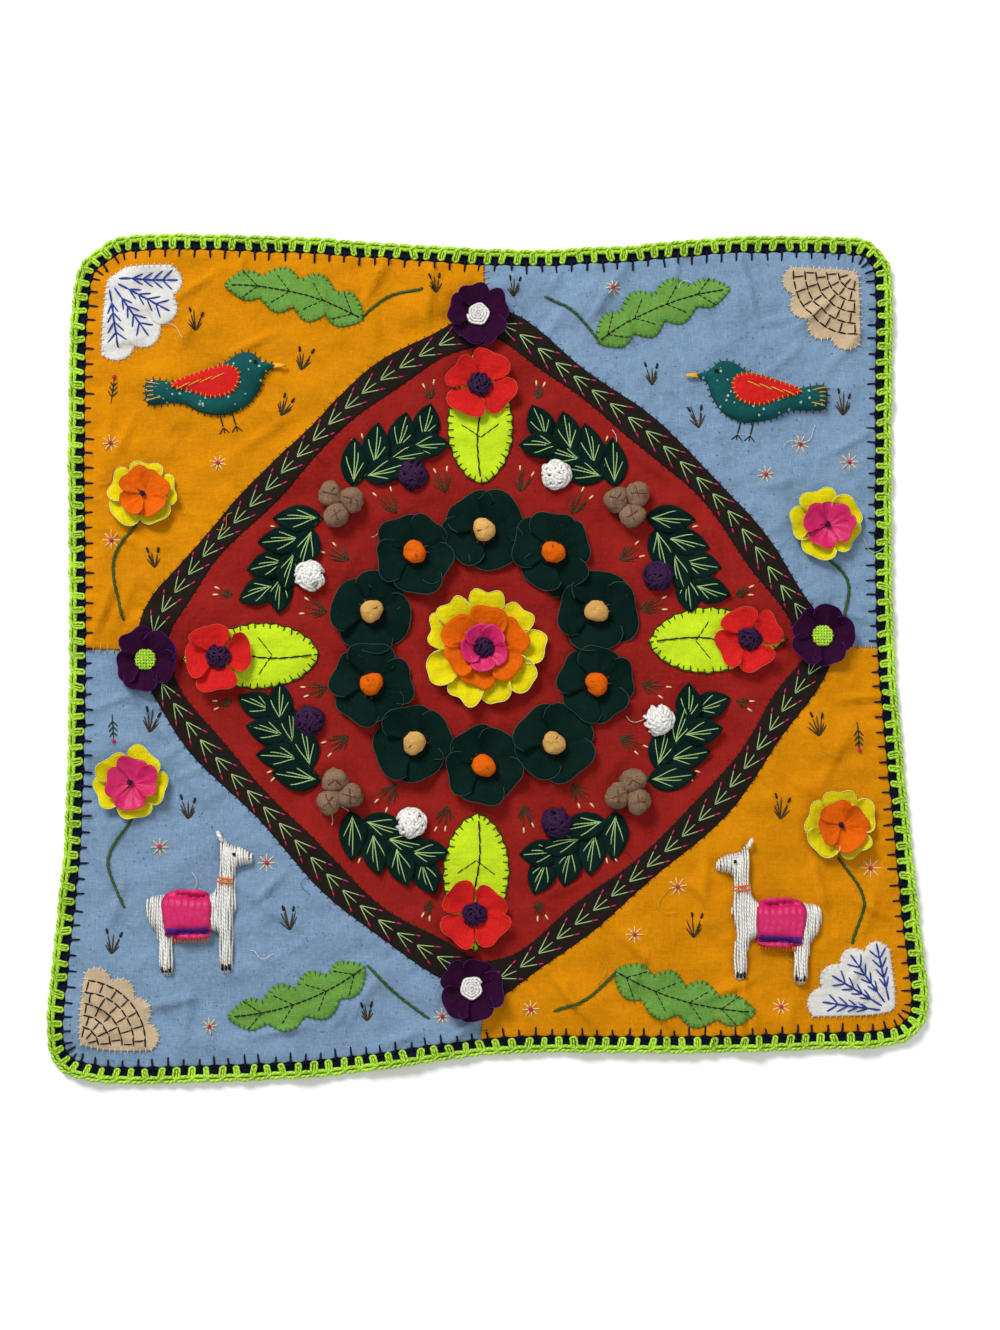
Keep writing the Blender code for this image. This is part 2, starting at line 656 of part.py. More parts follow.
def build_animals(tree, parts, cutters):
    """Two llamas with saddle cloths in the lower corners, and two birds in the upper ones."""
    for animal in ANIMALS:
        x, y = animal.x * MM, animal.y * MM
        base = seat_height(tree, x, y, ANIMAL_SEAT, APPLIQUE_BASE)
        body = placed([(px * MM, py * MM) for px, py in LLAMA], x, y, animal.tilt, animal.facing)
        padded_silhouette(f"llama_{animal.name}", body, base, cutters, parts, "white")
        cloth = placed([(px * MM, py * MM) for px, py in SADDLE_CLOTH], x, y, animal.tilt, animal.facing)
        top = base + ANIMAL_HEIGHT + PIECE_GAP
        saddle = outline_solid(f"saddle_cloth_{animal.name}", cloth, top, top + CLOTH_THICKNESS, parts)
        saddle.data.materials.append(dye("magenta"))
    for bird in BIRDS:
        x, y = bird.x * MM, bird.y * MM
        base = seat_height(tree, x, y, ANIMAL_SEAT, APPLIQUE_BASE)
        body = placed([(px * MM, py * MM) for px, py in BIRD], x, y, bird.tilt, bird.facing)
        padded_silhouette(f"bird_{bird.name}", body, base, cutters, parts, "teal")


def main():
    clear_scene()
    parts = new_collection("arpillera")
    cutters = new_collection("cutters")
    tree = surface_tree()
    rim = centred(smooth_closed(RIM, STITCH_COUNT * STATIONS_PER_STITCH))
    build_cloths(rim, parts, cutters)
    build_edging(rim, tree, parts)
    build_centre(tree, parts, cutters)
    build_leaves(parts, cutters)
    build_flowers(tree, parts)
    build_nuts(tree, parts, cutters)
    build_animals(tree, parts, cutters)


main()
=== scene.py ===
"""Looks of a square arpillera: pieced cotton, crochet, padded animals, flowers and hand stitches.

The frame's solids give the layers and the places. Tables and plan points are in millimetres, and the
meshes are made in metres. +Z is up, and +Y runs to the top edge of the design.
"""

import json
import math
from collections import namedtuple

import bpy
import numpy as np
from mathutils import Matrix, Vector
from mathutils.geometry import delaunay_2d_cdt

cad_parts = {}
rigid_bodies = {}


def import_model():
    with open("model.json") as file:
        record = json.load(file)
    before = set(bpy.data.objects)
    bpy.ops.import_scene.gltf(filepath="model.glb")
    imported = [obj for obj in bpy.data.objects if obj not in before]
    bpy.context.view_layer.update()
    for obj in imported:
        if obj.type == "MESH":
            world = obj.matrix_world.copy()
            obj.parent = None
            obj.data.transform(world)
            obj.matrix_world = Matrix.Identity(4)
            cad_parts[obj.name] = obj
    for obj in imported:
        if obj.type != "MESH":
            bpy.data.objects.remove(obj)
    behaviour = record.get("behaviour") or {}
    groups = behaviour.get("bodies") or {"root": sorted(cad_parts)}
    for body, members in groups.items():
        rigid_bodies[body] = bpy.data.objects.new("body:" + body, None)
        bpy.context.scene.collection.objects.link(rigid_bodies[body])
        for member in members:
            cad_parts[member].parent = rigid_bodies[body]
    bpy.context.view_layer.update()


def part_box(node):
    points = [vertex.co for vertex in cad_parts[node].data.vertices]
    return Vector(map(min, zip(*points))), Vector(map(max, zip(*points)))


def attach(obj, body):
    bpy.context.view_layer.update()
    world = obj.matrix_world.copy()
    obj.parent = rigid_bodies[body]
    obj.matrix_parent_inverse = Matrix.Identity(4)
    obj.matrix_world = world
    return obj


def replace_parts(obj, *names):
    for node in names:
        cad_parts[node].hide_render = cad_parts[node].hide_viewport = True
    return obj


MM = 0.001

# Layers over the folds, in millimetres
BACKING_TOP = 1.2
FIELD_LOW = 1.25
FIELD_TOP = 2.3
BAND_TOP = 3.0
LEAF_TOP = 1.15

# Crocheted edging
STITCH_COUNT = 216
RIM_STATIONS = 432
BACKING_INSET = 2.6
PANEL_INSET = 8.3

# Pieced diamond
DESIGN_CENTRE = np.array((-2.0, 3.0))
DIAMOND_POWER = 1.25
RED_HALF = (162.0, 159.0)
FRAME_HALF = (180.0, 177.0)
LAP = 3.0

Fold = namedtuple("Fold", "x y heading half_length half_width height")
Frond = namedtuple("Frond", "name x y heading length bend")
Animal = namedtuple("Animal", "name x y facing tilt")

# Outer rim of the edging, anticlockwise from the lower left corner
RIM = [
    (-203, -214.5), (-178, -216.8), (-101, -214.2), (-60, -210.4), (-19, -204.5), (21, -201.2),
    (103, -201.3), (150, -200), (200, -198), (216, -191), (222, -176), (217.8, -133), (211.5, -62),
    (206.5, 10), (206.3, 100), (207.6, 186), (203, 206), (186, 215), (124, 215.2), (62, 210.3),
    (10, 209), (-40, 211.6), (-101, 215.7), (-176, 216.8), (-200, 210), (-213.2, 188), (-215, 105),
    (-213, 0), (-214.6, -92), (-219.6, -152), (-222, -194), (-216, -209),
]

# The solids' soft ridges
FOLDS = [
    Fold(-30, 190, 80, 36, 17, 2.3),
    Fold(52, 187, 70, 34, 17, 2.2),
    Fold(128, 192, 98, 34, 18, 2.7),
    Fold(-176, 196, 50, 38, 19, 2.2),
    Fold(196, 108, 62, 46, 18, 2.3),
    Fold(180, -40, 8, 38, 17, 2.2),
    Fold(60, -184, -48, 44, 19, 3.2),
    Fold(-22, -188, 34, 40, 18, 2.8),
    Fold(131, -186, 86, 32, 17, 2.6),
    Fold(-204, -184, -42, 40, 20, 2.8),
    Fold(-202, 30, 84, 50, 18, 2.2),
    Fold(-112, -200, 6, 38, 16, 2.2),
    Fold(92, -96, 42, 34, 16, 1.6),
    Fold(-96, 98, 40, 34, 16, 1.5),
]

# Sharper creases, from the stitches' pull
CREASES = [
    Fold(-58, 192, 62, 22, 3.4, 1.0),
    Fold(-30, 186, 84, 26, 3.0, 1.1),
    Fold(14, 190, 108, 22, 3.0, 0.9),
    Fold(60, 184, 58, 26, 3.4, 1.1),
    Fold(96, 196, 80, 18, 2.8, 0.9),
    Fold(134, 186, 104, 28, 3.2, 1.2),
    Fold(168, 176, 40, 22, 3.4, 1.0),
    Fold(-150, 190, 34, 22, 3.2, 0.9),
    Fold(-190, 160, 12, 20, 3.0, 0.8),
    Fold(188, 110, 30, 24, 3.2, 1.0),
    Fold(182, 20, -8, 20, 3.0, 0.9),
    Fold(192, -22, 6, 22, 3.0, 1.0),
    Fold(196, -130, -28, 22, 3.4, 0.9),
    Fold(44, -176, -50, 30, 3.8, 1.3),
    Fold(88, -184, -34, 22, 3.4, 1.0),
    Fold(128, -180, 84, 22, 3.0, 1.2),
    Fold(152, -184, 78, 18, 3.0, 0.9),
    Fold(-8, -186, 40, 24, 3.6, 1.1),
    Fold(-44, -194, 20, 20, 3.2, 0.8),
    Fold(-104, -190, 10, 24, 3.0, 1.0),
    Fold(-196, -176, -46, 28, 4.2, 1.3),
    Fold(-184, -192, -24, 20, 3.2, 0.9),
    Fold(-196, 22, 70, 26, 3.2, 1.0),
    Fold(-190, -24, 20, 20, 3.0, 0.8),
    Fold(-186, 60, -30, 20, 3.0, 0.8),
    Fold(-126, 202, 74, 14, 2.6, 0.8),
    Fold(-84, 178, 96, 16, 2.8, 0.7),
    Fold(36, 196, 70, 12, 2.6, 0.8),
    Fold(112, 176, 116, 18, 3.0, 0.8),
    Fold(150, 150, 40, 18, 3.2, 0.6),
    Fold(-160, 74, -16, 22, 3.0, 0.7),
    Fold(-150, -60, 24, 20, 3.2, 0.6),
    Fold(166, 66, 18, 18, 3.0, 0.7),
    Fold(158, -66, -30, 22, 3.2, 0.7),
    Fold(112, -196, 92, 14, 2.6, 0.9),
    Fold(76, -160, 64, 20, 3.0, 0.7),
    Fold(-76, -186, 58, 16, 2.8, 0.9),
    Fold(-140, -192, 82, 14, 2.6, 0.8),
    Fold(-100, -150, 30, 18, 3.2, 0.6),
    Fold(-40, 118, 24, 26, 3.6, 0.8),
    Fold(40, -118, 20, 26, 3.6, 0.8),
    Fold(118, 44, 100, 24, 3.4, 0.8),
    Fold(-118, -38, 96, 24, 3.4, 0.8),
    Fold(4, -38, 70, 14, 3.0, 0.6),
    Fold(-30, 30, -48, 14, 3.0, 0.6),
    Fold(84, 96, -38, 22, 3.4, 0.7),
    Fold(-86, -100, -30, 22, 3.4, 0.7),
    Fold(-186, 112, 64, 24, 3.6, 0.9),
    Fold(-120, 160, 28, 22, 3.4, 0.8),
    Fold(-110, 122, -50, 20, 3.2, 0.8),
    Fold(-52, 204, 6, 22, 3.0, 0.7),
    Fold(116, 150, 118, 20, 3.4, 0.8),
    Fold(190, 76, -62, 20, 3.4, 0.9),
    Fold(150, 172, 12, 22, 3.2, 0.8),
    Fold(72, 166, 96, 18, 3.0, 0.7),
    Fold(-110, -118, 44, 22, 3.6, 0.9),
    Fold(-188, -128, 74, 22, 3.4, 0.9),
    Fold(-160, -176, 12, 24, 3.4, 0.9),
    Fold(-60, -176, -60, 18, 3.2, 0.8),
    Fold(108, -122, -48, 22, 3.6, 0.9),
    Fold(168, -120, 100, 26, 3.8, 1.0),
    Fold(186, -160, 62, 22, 3.4, 0.9),
    Fold(120, -170, 20, 24, 3.4, 0.8),
    Fold(-134, 2, 20, 14, 3.0, 0.4),
    Fold(-70, 46, 60, 20, 3.4, 0.5),
    Fold(66, -56, 50, 20, 3.4, 0.5),
    Fold(-60, -70, -42, 22, 3.4, 0.5),
    Fold(58, 72, -40, 22, 3.4, 0.5),
    Fold(76, -150, -44, 32, 4.6, 0.8),
    Fold(110, -112, 84, 26, 4.4, 0.7),
    Fold(192, -134, 74, 30, 4.4, 0.8),
    Fold(134, -192, 96, 20, 4.0, 0.8),
    Fold(176, -52, 64, 26, 4.6, 0.7),
    Fold(-152, 170, 64, 26, 4.4, 0.8),
    Fold(-196, 106, 82, 28, 4.2, 0.8),
    Fold(-116, 112, 34, 26, 4.6, 0.7),
    Fold(-62, 178, 118, 24, 4.4, 0.8),
    Fold(-186, 24, 64, 26, 4.2, 0.7),
    Fold(34, 168, 66, 26, 4.4, 0.6),
    Fold(106, 128, -32, 28, 4.6, 0.7),
    Fold(184, 158, 52, 28, 4.2, 0.8),
    Fold(150, 88, 14, 24, 4.4, 0.6),
    Fold(-194, -106, 96, 28, 4.2, 0.8),
    Fold(-106, -132, -36, 28, 4.6, 0.7),
    Fold(-64, -176, 58, 26, 4.4, 0.8),
    Fold(-152, -184, 84, 22, 4.2, 0.8),
    Fold(-168, -34, -58, 26, 4.4, 0.7),
]

LLAMA = [
    (-26, 8), (-23, 12), (-10, 12.5), (0, 11), (8, 13), (11, 22), (11.5, 33), (12.5, 41), (17, 36.5),
    (23, 35), (28, 31), (27.5, 27), (20, 25), (18.8, 16), (19, 6), (17, -3), (16.5, -26), (10.5, -26),
    (9.5, -8), (0, -7), (-12, -8), (-13.5, -26), (-19.5, -26), (-21, -8), (-25, -1),
]
BIRD = [
    (31, 6), (24, 9.5), (19, 14.5), (12, 15), (5, 11.5), (-8, 8), (-18, 4), (-35, 8), (-38, 1), (-36, -5),
    (-20, -7), (-10, -13), (2, -15.5), (14, -12), (21, -4), (24.5, 3),
]
SADDLE_CLOTH = [(-16, 13), (5, 13), (6.5, -3), (4, -9), (-14.5, -9), (-17, -3)]
WING = [(12, 4), (6, 9), (-6, 8), (-24, 3), (-15, -2), (-3, -7), (8, -5)]

LLAMAS = [Animal("w", -146, -134, 1, 2), Animal("e", 142, -138, -1, -3)]
BIRDS = [Animal("w", -138, 138, 1, 8), Animal("e", 136, 134, -1, -6)]
FRONDS = [
    Frond("nw", -64, 172, 166, 74, 16),
    Frond("ne", 56, 160, 22, 74, -16),
    Frond("sw", -62, -158, 200, 74, -18),
    Frond("se", 64, -160, -16, 74, 16),
]
FROND_HALF_WIDTH = 13.0
FROND_LOBES = 4
LONG_LEAF_START = 84.0
LONG_LEAF_LENGTH = 70.0
LONG_LEAF_HALF_WIDTH = 16.5
LONG_LEAVES = [("e", 2), ("n", 91), ("w", 182), ("s", 268)]


# Plan geometry

def resampled(points, count, closed=True):
    """Points evenly spaced by length along a line of points."""
    path = np.asarray(points, float)
    if closed:
        path = np.vstack([path, path[:1]])
    at = np.concatenate([[0], np.cumsum(np.linalg.norm(np.diff(path, axis=0), axis=1))])
    wanted = np.linspace(0, at[-1], count, endpoint=not closed)
    return np.column_stack([np.interp(wanted, at, path[:, k]) for k in range(path.shape[1])])


def smooth_closed(points, count):
    """Points evenly spaced along the smooth closed curve through the given ones."""
    here = np.asarray(points, float)
    before, after, beyond = np.roll(here, 1, 0), np.roll(here, -1, 0), np.roll(here, -2, 0)
    t = np.linspace(0, 1, 24, endpoint=False)[None, :, None]
    fine = 0.5 * (
        2 * here[:, None] + (after - before)[:, None] * t
        + (2 * before - 5 * here + 4 * after - beyond)[:, None] * t ** 2
        + (3 * here - before - 3 * after + beyond)[:, None] * t ** 3
    )
    return resampled(fine.reshape(-1, 2), count)


def smooth_open(points, count):
    """Points evenly spaced along the smooth line through the given ones."""
    here = np.asarray(points, float)
    here = np.vstack([2 * here[0] - here[1], here, 2 * here[-1] - here[-2]])
    t = np.linspace(0, 1, 16, endpoint=False)[None, :, None]
    a, b, c, d = (here[k:len(here) - 3 + k][:, None] for k in range(4))
    fine = 0.5 * (2 * b + (c - a) * t + (2 * a - 5 * b + 4 * c - d) * t ** 2
                  + (3 * b - a - 3 * c + d) * t ** 3)
    return resampled(np.vstack([fine.reshape(-1, 2), here[-2:-1]]), count, closed=False)


def inward_normals(loop):
    along = np.roll(loop, -1, 0) - np.roll(loop, 1, 0)
    turned = np.column_stack([-along[:, 1], along[:, 0]])
    return turned / np.linalg.norm(turned, axis=1)[:, None]


def normals_of_line(path):
    along = np.gradient(path, axis=0)
    turned = np.column_stack([-along[:, 1], along[:, 0]])
    return turned / np.maximum(np.linalg.norm(turned, axis=1), 1e-9)[:, None]


def inside(points, loop):
    """Whether each plan point lies inside a closed outline."""
    found = np.zeros(len(points), bool)
    x, y = points[:, 0], points[:, 1]
    for (ax, ay), (bx, by) in zip(loop, np.roll(loop, -1, 0)):
        crosses = (ay > y) != (by > y)
        if crosses.any():
            at = ax + (y[crosses] - ay) * (bx - ax) / (by - ay)
            found[crosses] ^= x[crosses] < at
    return found


def edge_distance(points, loop):
    """How far each plan point is from a closed outline, and how far round the nearest place is."""
    start = loop
    step = np.roll(loop, -1, 0) - loop
    lengths = np.linalg.norm(step, axis=1)
    gone = np.concatenate([[0], np.cumsum(lengths)[:-1]])
    distance = np.empty(len(points))
    place = np.empty(len(points))
    for first in range(0, len(points), 3000):
        part = points[first:first + 3000, None, :]
        share = np.clip(((part - start) * step).sum(2) / lengths ** 2, 0, 1)
        away = np.linalg.norm(part - (start + share[..., None] * step), axis=2)
        nearest = away.argmin(1)
        row = np.arange(len(nearest))
        distance[first:first + 3000] = away[row, nearest]
        place[first:first + 3000] = gone[nearest] + share[row, nearest] * lengths[nearest]
    return distance, place


def placed(points, x, y, turn, mirror=1):
    """Plan points mirrored, turned and moved to their place, still anticlockwise."""
    c, s = math.cos(math.radians(turn)), math.sin(math.radians(turn))
    p = np.asarray(points, float) * (mirror, 1)
    moved = np.column_stack([c * p[:, 0] - s * p[:, 1] + x, s * p[:, 0] + c * p[:, 1] + y])
    return moved if mirror > 0 else moved[::-1]


def anticlockwise(loop):
    x, y = loop[:, 0], loop[:, 1]
    area = (x * np.roll(y, -1) - np.roll(x, -1) * y).sum()
    return loop if area > 0 else loop[::-1]


# The rim, as a place to measure from

RIM_POINTS = smooth_closed(RIM, RIM_STATIONS)
RIM_POINTS = RIM_POINTS - (RIM_POINTS.min(0) + RIM_POINTS.max(0)) / 2
RIM_NORMALS = inward_normals(RIM_POINTS)


def rim_place(share, inset):
    """The plan point a share of the way round the rim, and some way in from it."""
    at = np.mod(np.asarray(share, float), 1.0) * RIM_STATIONS
    low = np.floor(at).astype(int) % RIM_STATIONS
    high = (low + 1) % RIM_STATIONS
    part = (at - np.floor(at))[..., None]
    point = RIM_POINTS[low] * (1 - part) + RIM_POINTS[high] * part
    normal = RIM_NORMALS[low] * (1 - part) + RIM_NORMALS[high] * part
    return point + normal * np.asarray(inset, float)[..., None]


# Heights

def bump(t):
    return np.where(np.abs(t) < 1, np.cos(np.pi * np.clip(t, -1, 1) / 2) ** 2, 0.0)


def ridges(x, y, table):
    height = np.zeros_like(x, float)
    for fold in table:
        heading = math.radians(fold.heading)
        dx, dy = x - fold.x, y - fold.y
        along = (dx * math.cos(heading) + dy * math.sin(heading)) / fold.half_length
        across = (dy * math.cos(heading) - dx * math.sin(heading)) / fold.half_width
        height += fold.height * bump(along) * bump(across)
    return height


LAY_RISE = 0.75

# Sewn-on pieces that draw the cloth in: middle, reach, number of puckers
PULLED = [
    (-176, 84, 19, 7), (168, 70, 19, 7), (-180, -68, 19, 7), (172, -90, 19, 7),
    (-138, 138, 26, 8), (136, 134, 26, 8), (-146, -134, 28, 8), (142, -138, 28, 8),
    (-98, 180, 26, 6), (92, 174, 26, 6), (-98, -168, 26, 6), (98, -168, 26, 6),
    (-2, 3, 34, 7),
]
PULL_SEED = 19
CREASE_GAIN = 3.0
RIPPLE_SEED = 11
RIPPLE_COUNT = 14
RIPPLE_RISE = 0.0085
ripple_draw = np.random.default_rng(RIPPLE_SEED)
RIPPLES = np.column_stack([
    ripple_draw.uniform(13, 48, RIPPLE_COUNT),
    ripple_draw.uniform(0, math.tau, RIPPLE_COUNT),
    ripple_draw.uniform(0, math.tau, RIPPLE_COUNT),
])


def pulls():
    """Short puckers that run out from the sewn-on pieces, where their stitches draw the cloth in."""
    draw = np.random.default_rng(PULL_SEED)
    found = []
    for x, y, reach, count in PULLED:
        for k in range(count):
            angle = math.tau * (k + draw.uniform(-0.3, 0.3)) / count
            length = draw.uniform(6, 12)
            away = reach + length * 0.7
            found.append(Fold(x + away * math.cos(angle), y + away * math.sin(angle),
                              math.degrees(angle) + draw.uniform(-14, 14), length,
                              draw.uniform(2.2, 3.2), draw.uniform(0.5, 1.0)))
    return found


PULLS = pulls()


def lay(x, y, creased=1.0):
    """Height of the folds, creases and small unevenness that every cloth follows."""
    x, y = np.asarray(x, float), np.asarray(y, float)
    height = ridges(x, y, FOLDS)
    height += creased * (CREASE_GAIN * ridges(x, y, CREASES) + ridges(x, y, PULLS))
    for length, heading, phase in RIPPLES:
        wave = (x * math.cos(heading) + y * math.sin(heading)) * math.tau / length + phase
        height += RIPPLE_RISE * length * (np.sin(wave) + 0.6 * np.sin(1.7 * wave + 1))
    height += LAY_RISE
    return 0.5 * (height + np.sqrt(height ** 2 + 0.04))


def diamond_wave(half, seed):
    """The half widths and the two phases of a hand-cut diamond."""
    from random import Random
    draw = Random(seed)
    return half, draw.uniform(0, math.tau), draw.uniform(0, math.tau)


def diamond(shape, points, grow=0.0):
    half, slow, fast = shape
    angle = math.tau * np.arange(points) / points
    wave = 1 + 0.010 * np.sin(9 * angle + slow) + 0.007 * np.sin(16 * angle + fast)
    c, s = np.cos(angle), np.sin(angle)
    x = half[0] * np.sign(c) * np.abs(c) ** (2 / DIAMOND_POWER) * wave
    y = half[1] * np.sign(s) * np.abs(s) ** (2 / DIAMOND_POWER) * wave
    loop = resampled(np.column_stack([x, y]) + DESIGN_CENTRE, points)
    return loop - inward_normals(loop) * grow


RED_SHAPE = diamond_wave(RED_HALF, 3)
FRAME_SHAPE = diamond_wave(FRAME_HALF, 8)
RED_LOOP = diamond(RED_SHAPE, 420)
FRAME_LOOP = diamond(FRAME_SHAPE, 460)


def reach_at(loop, angle):
    """Distance from the design's centre to an outline, in given directions."""
    from_centre = loop - DESIGN_CENTRE
    angles = np.arctan2(from_centre[:, 1], from_centre[:, 0])
    order = np.argsort(angles)
    return np.interp(angle, angles[order], np.linalg.norm(from_centre, axis=1)[order], period=math.tau)


def band_lift(x, y):
    """How much higher the surface is where the brown band lies over the other cloths."""
    dx, dy = x - DESIGN_CENTRE[0], y - DESIGN_CENTRE[1]
    angle, radius = np.arctan2(dy, dx), np.hypot(dx, dy)
    room = np.minimum(reach_at(FRAME_LOOP, angle) - radius, radius - reach_at(RED_LOOP, angle))
    return (BAND_TOP - FIELD_TOP) * np.clip(room / 1.5, 0, 1) ** 0.5


def surface(x, y):
    """Top of the pieced cloths."""
    x, y = np.asarray(x, float), np.asarray(y, float)
    return lay(x, y) + FIELD_TOP + band_lift(x, y)


# Mesh making

def add_mesh(name, points, faces, material, smooth=True, twist=None):
    mesh = bpy.data.meshes.new(name)
    mesh.from_pydata((np.asarray(points) * MM).tolist(), [], faces)
    mesh.materials.append(material)
    if smooth:
        mesh.shade_smooth()
    if twist is not None:
        layer = mesh.uv_layers.new(name="twist")
        corners = np.empty(len(mesh.loops), int)
        mesh.loops.foreach_get("vertex_index", corners)
        layer.data.foreach_set("uv", twist[corners].astype(np.float32).ravel())
    made = bpy.data.objects.new(name, mesh)
    bpy.context.scene.collection.objects.link(made)
    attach(made, "root")
    return made


def thickened(piece, thickness):
    """Gives an open sheet its thickness, downwards."""
    solidify = piece.modifiers.new("thickness", "SOLIDIFY")
    solidify.thickness = thickness * MM
    solidify.offset = -1
    solidify.use_even_offset = False
    return piece


def plan_triangles(loop, pitch, rows, holes=(), seed=1):
    """Triangles over an outline: rows of points along its edges, and an uneven grid between them."""
    loops = [loop, *holes]
    points, ties, count = [], [], 0
    for ring in loops:
        n = len(ring)
        points.append(ring)
        ties += [(count + k, count + (k + 1) % n) for k in range(n)]
        count += n
    extra = []
    for row in rows:
        for number, ring in enumerate(loops):
            side = 1 if number == 0 else -1
            extra.append(ring + inward_normals(ring) * row * side)
    low, high = loop.min(0), loop.max(0)
    xs = np.arange(low[0], high[0], pitch)
    ys = np.arange(low[1], high[1], pitch * 0.87)
    gx, gy = np.meshgrid(xs, ys)
    gx[1::2] += pitch / 2
    grid = np.column_stack([gx.ravel(), gy.ravel()])
    grid += np.random.default_rng(seed).uniform(-0.18, 0.18, grid.shape) * pitch
    candidates = [(np.vstack(extra), 0.75 * min(rows))] if rows else []
    candidates.append((grid, (max(rows) if rows else 0) + 0.55 * pitch))
    for found, clear in candidates:
        keep = inside(found, loop)
        for hole in holes:
            keep &= ~inside(found, hole)
        found = found[keep]
        for ring in loops:
            found = found[edge_distance(found, ring)[0] > clear]
        points.append(found)
    cloud = [Vector(p) for p in np.vstack(points)]
    verts, _, faces, *_ = delaunay_2d_cdt(cloud, ties, [], 1, 1e-5, False)
    plan = np.array([(v.x, v.y) for v in verts])
    corners = np.array(faces)
    middles = plan[corners].mean(1)
    keep = inside(middles, loop)
    for hole in holes:
        keep &= ~inside(middles, hole)
    corners = corners[keep]
    a, b, c = (plan[corners[:, k]] for k in range(3))
    turn = (b[:, 0] - a[:, 0]) * (c[:, 1] - a[:, 1]) - (b[:, 1] - a[:, 1]) * (c[:, 0] - a[:, 0])
    corners[turn < 0] = corners[turn < 0][:, ::-1]
    used = np.unique(corners)
    lookup = np.zeros(len(plan), int)
    lookup[used] = np.arange(len(used))
    return plan[used], lookup[corners]


Pucker = namedtuple("Pucker", "pitch depth reach")


def cloth(name, loop, low, top, material, pitch=2.4, holes=(), under=lay, puff=0.0, pucker=None,
          rounding=1.1, thickness=0.35, seed=1, rows=()):
    """A piece of cloth over what lies under it, its turned edge rounded down, perhaps padded."""
    plan, faces = plan_triangles(loop, pitch, (0.3 * rounding, rounding, *rows), holes, seed)
    distance, place = edge_distance(plan, loop)
    for hole in holes:
        to_hole, place_there = edge_distance(plan, hole)
        place = np.where(to_hole < distance, place_there, place)
        distance = np.minimum(distance, to_hole)
    rise = np.sqrt(1 - (1 - np.clip(distance / rounding, 0, 1)) ** 2)
    floor = under(plan[:, 0], plan[:, 1]) + low
    z = floor + (top - low) * rise
    hem = bump((distance - 2.2) / 2.2)
    z += 0.16 * hem
    if puff:
        z += puff * (1 - np.exp(-(distance / 5.0) ** 2))
    if pucker:
        draw = np.random.default_rng(seed + 500)
        number = np.floor(place / pucker.pitch).astype(int) % 600
        depth = pucker.depth * draw.uniform(0.15, 1.2, 600)[number]
        reach = pucker.reach * draw.uniform(0.5, 1.4, 600)[number]
        fade = np.exp(-(distance / reach) ** 2) * np.clip(distance / rounding, 0, 1)
        z -= depth * fade * (0.5 - 0.5 * np.cos(math.tau * place / pucker.pitch)) ** 2
        z = np.maximum(z, floor)
    made = add_mesh(name, np.column_stack([plan, z]), faces.tolist(), material)
    return thickened(made, thickness)


def dome_height(distance, height, rounding):
    return height * np.sqrt(1 - (1 - np.clip(distance / rounding, 0, 1)) ** 2)


def stuffed(name, loop, base, height, rounding, material, pitch=1.7, lumps=0.25, seed=1):
    """A closed padded piece over an outline, flat below and domed above."""
    plan, faces = plan_triangles(loop, pitch, (0.25, 0.9, 1.9), (), seed)
    distance, _ = edge_distance(plan, loop)
    z = base + dome_height(distance, height, rounding)
    ripple = np.sin(plan[:, 0] * 0.9 + 1.3 * np.sin(plan[:, 1] * 0.5)) * np.sin(plan[:, 1] * 0.8 + seed)
    z += lumps * ripple * np.clip(distance / 2, 0, 1)
    rim = distance < 1e-3
    under = np.full(len(plan), base)
    points = np.vstack([np.column_stack([plan, np.where(rim, base, z)]), np.column_stack([plan, under])])
    lower = np.where(rim, np.arange(len(plan)), np.arange(len(plan)) + len(plan))
    below = lower[faces][:, ::-1]
    made = add_mesh(name, points, faces.tolist() + below.tolist(), material)
    return made


def transported(paths):
    """For lines of points, shape (lines, steps, 3): two directions across each at each step."""
    along = np.gradient(paths, axis=1)
    along /= np.maximum(np.linalg.norm(along, axis=2, keepdims=True), 1e-9)
    first = np.cross(along[:, 0], (0, 0, 1.0))
    short = np.linalg.norm(first, axis=1) < 0.05
    first[short] = np.cross(along[short, 0], (1.0, 0, 0))
    across = np.empty_like(paths)
    current = first
    for step in range(paths.shape[1]):
        t = along[:, step]
        current = current - (current * t).sum(1, keepdims=True) * t
        current /= np.maximum(np.linalg.norm(current, axis=1, keepdims=True), 1e-9)
        across[:, step] = current
    return across, np.cross(along, across)


def tubes(paths, radius, sides=6, closed=False):
    """Points, faces and twist coordinates of round strands along many lines of equal point count."""
    paths = np.asarray(paths, float)
    lines, steps, _ = paths.shape
    if closed:
        padded = np.concatenate([paths[:, -1:], paths, paths[:, :1]], axis=1)
        one, two = (a[:, 1:-1] for a in transported(padded))
    else:
        one, two = transported(paths)
    radius = np.broadcast_to(np.asarray(radius, float), (lines, steps))
    angle = math.tau * np.arange(sides) / sides
    ring = (one[:, :, None] * np.cos(angle)[:, None] + two[:, :, None] * np.sin(angle)[:, None])
    points = paths[:, :, None] + ring * radius[:, :, None, None]
    lengths = np.linalg.norm(np.diff(paths, axis=1), axis=2)
    gone = np.concatenate([np.zeros((lines, 1)), np.cumsum(lengths, axis=1)], axis=1)
    twist = np.empty((lines, steps, sides, 2))
    twist[..., 0] = gone[:, :, None]
    twist[..., 1] = np.arange(sides) / sides
    index = np.arange(lines * steps * sides).reshape(lines, steps, sides)
    following = np.roll(index, -1, 1) if closed else index[:, 1:]
    here = index if closed else index[:, :-1]
    quads = np.stack([here, np.roll(here, -1, 2), np.roll(following, -1, 2), following], axis=3)
    faces = quads.reshape(-1, 4).tolist()
    if not closed:
        faces += index[:, 0, ::-1].tolist() + index[:, -1].tolist()
    return points.reshape(-1, 3), faces, twist.reshape(-1, 2)


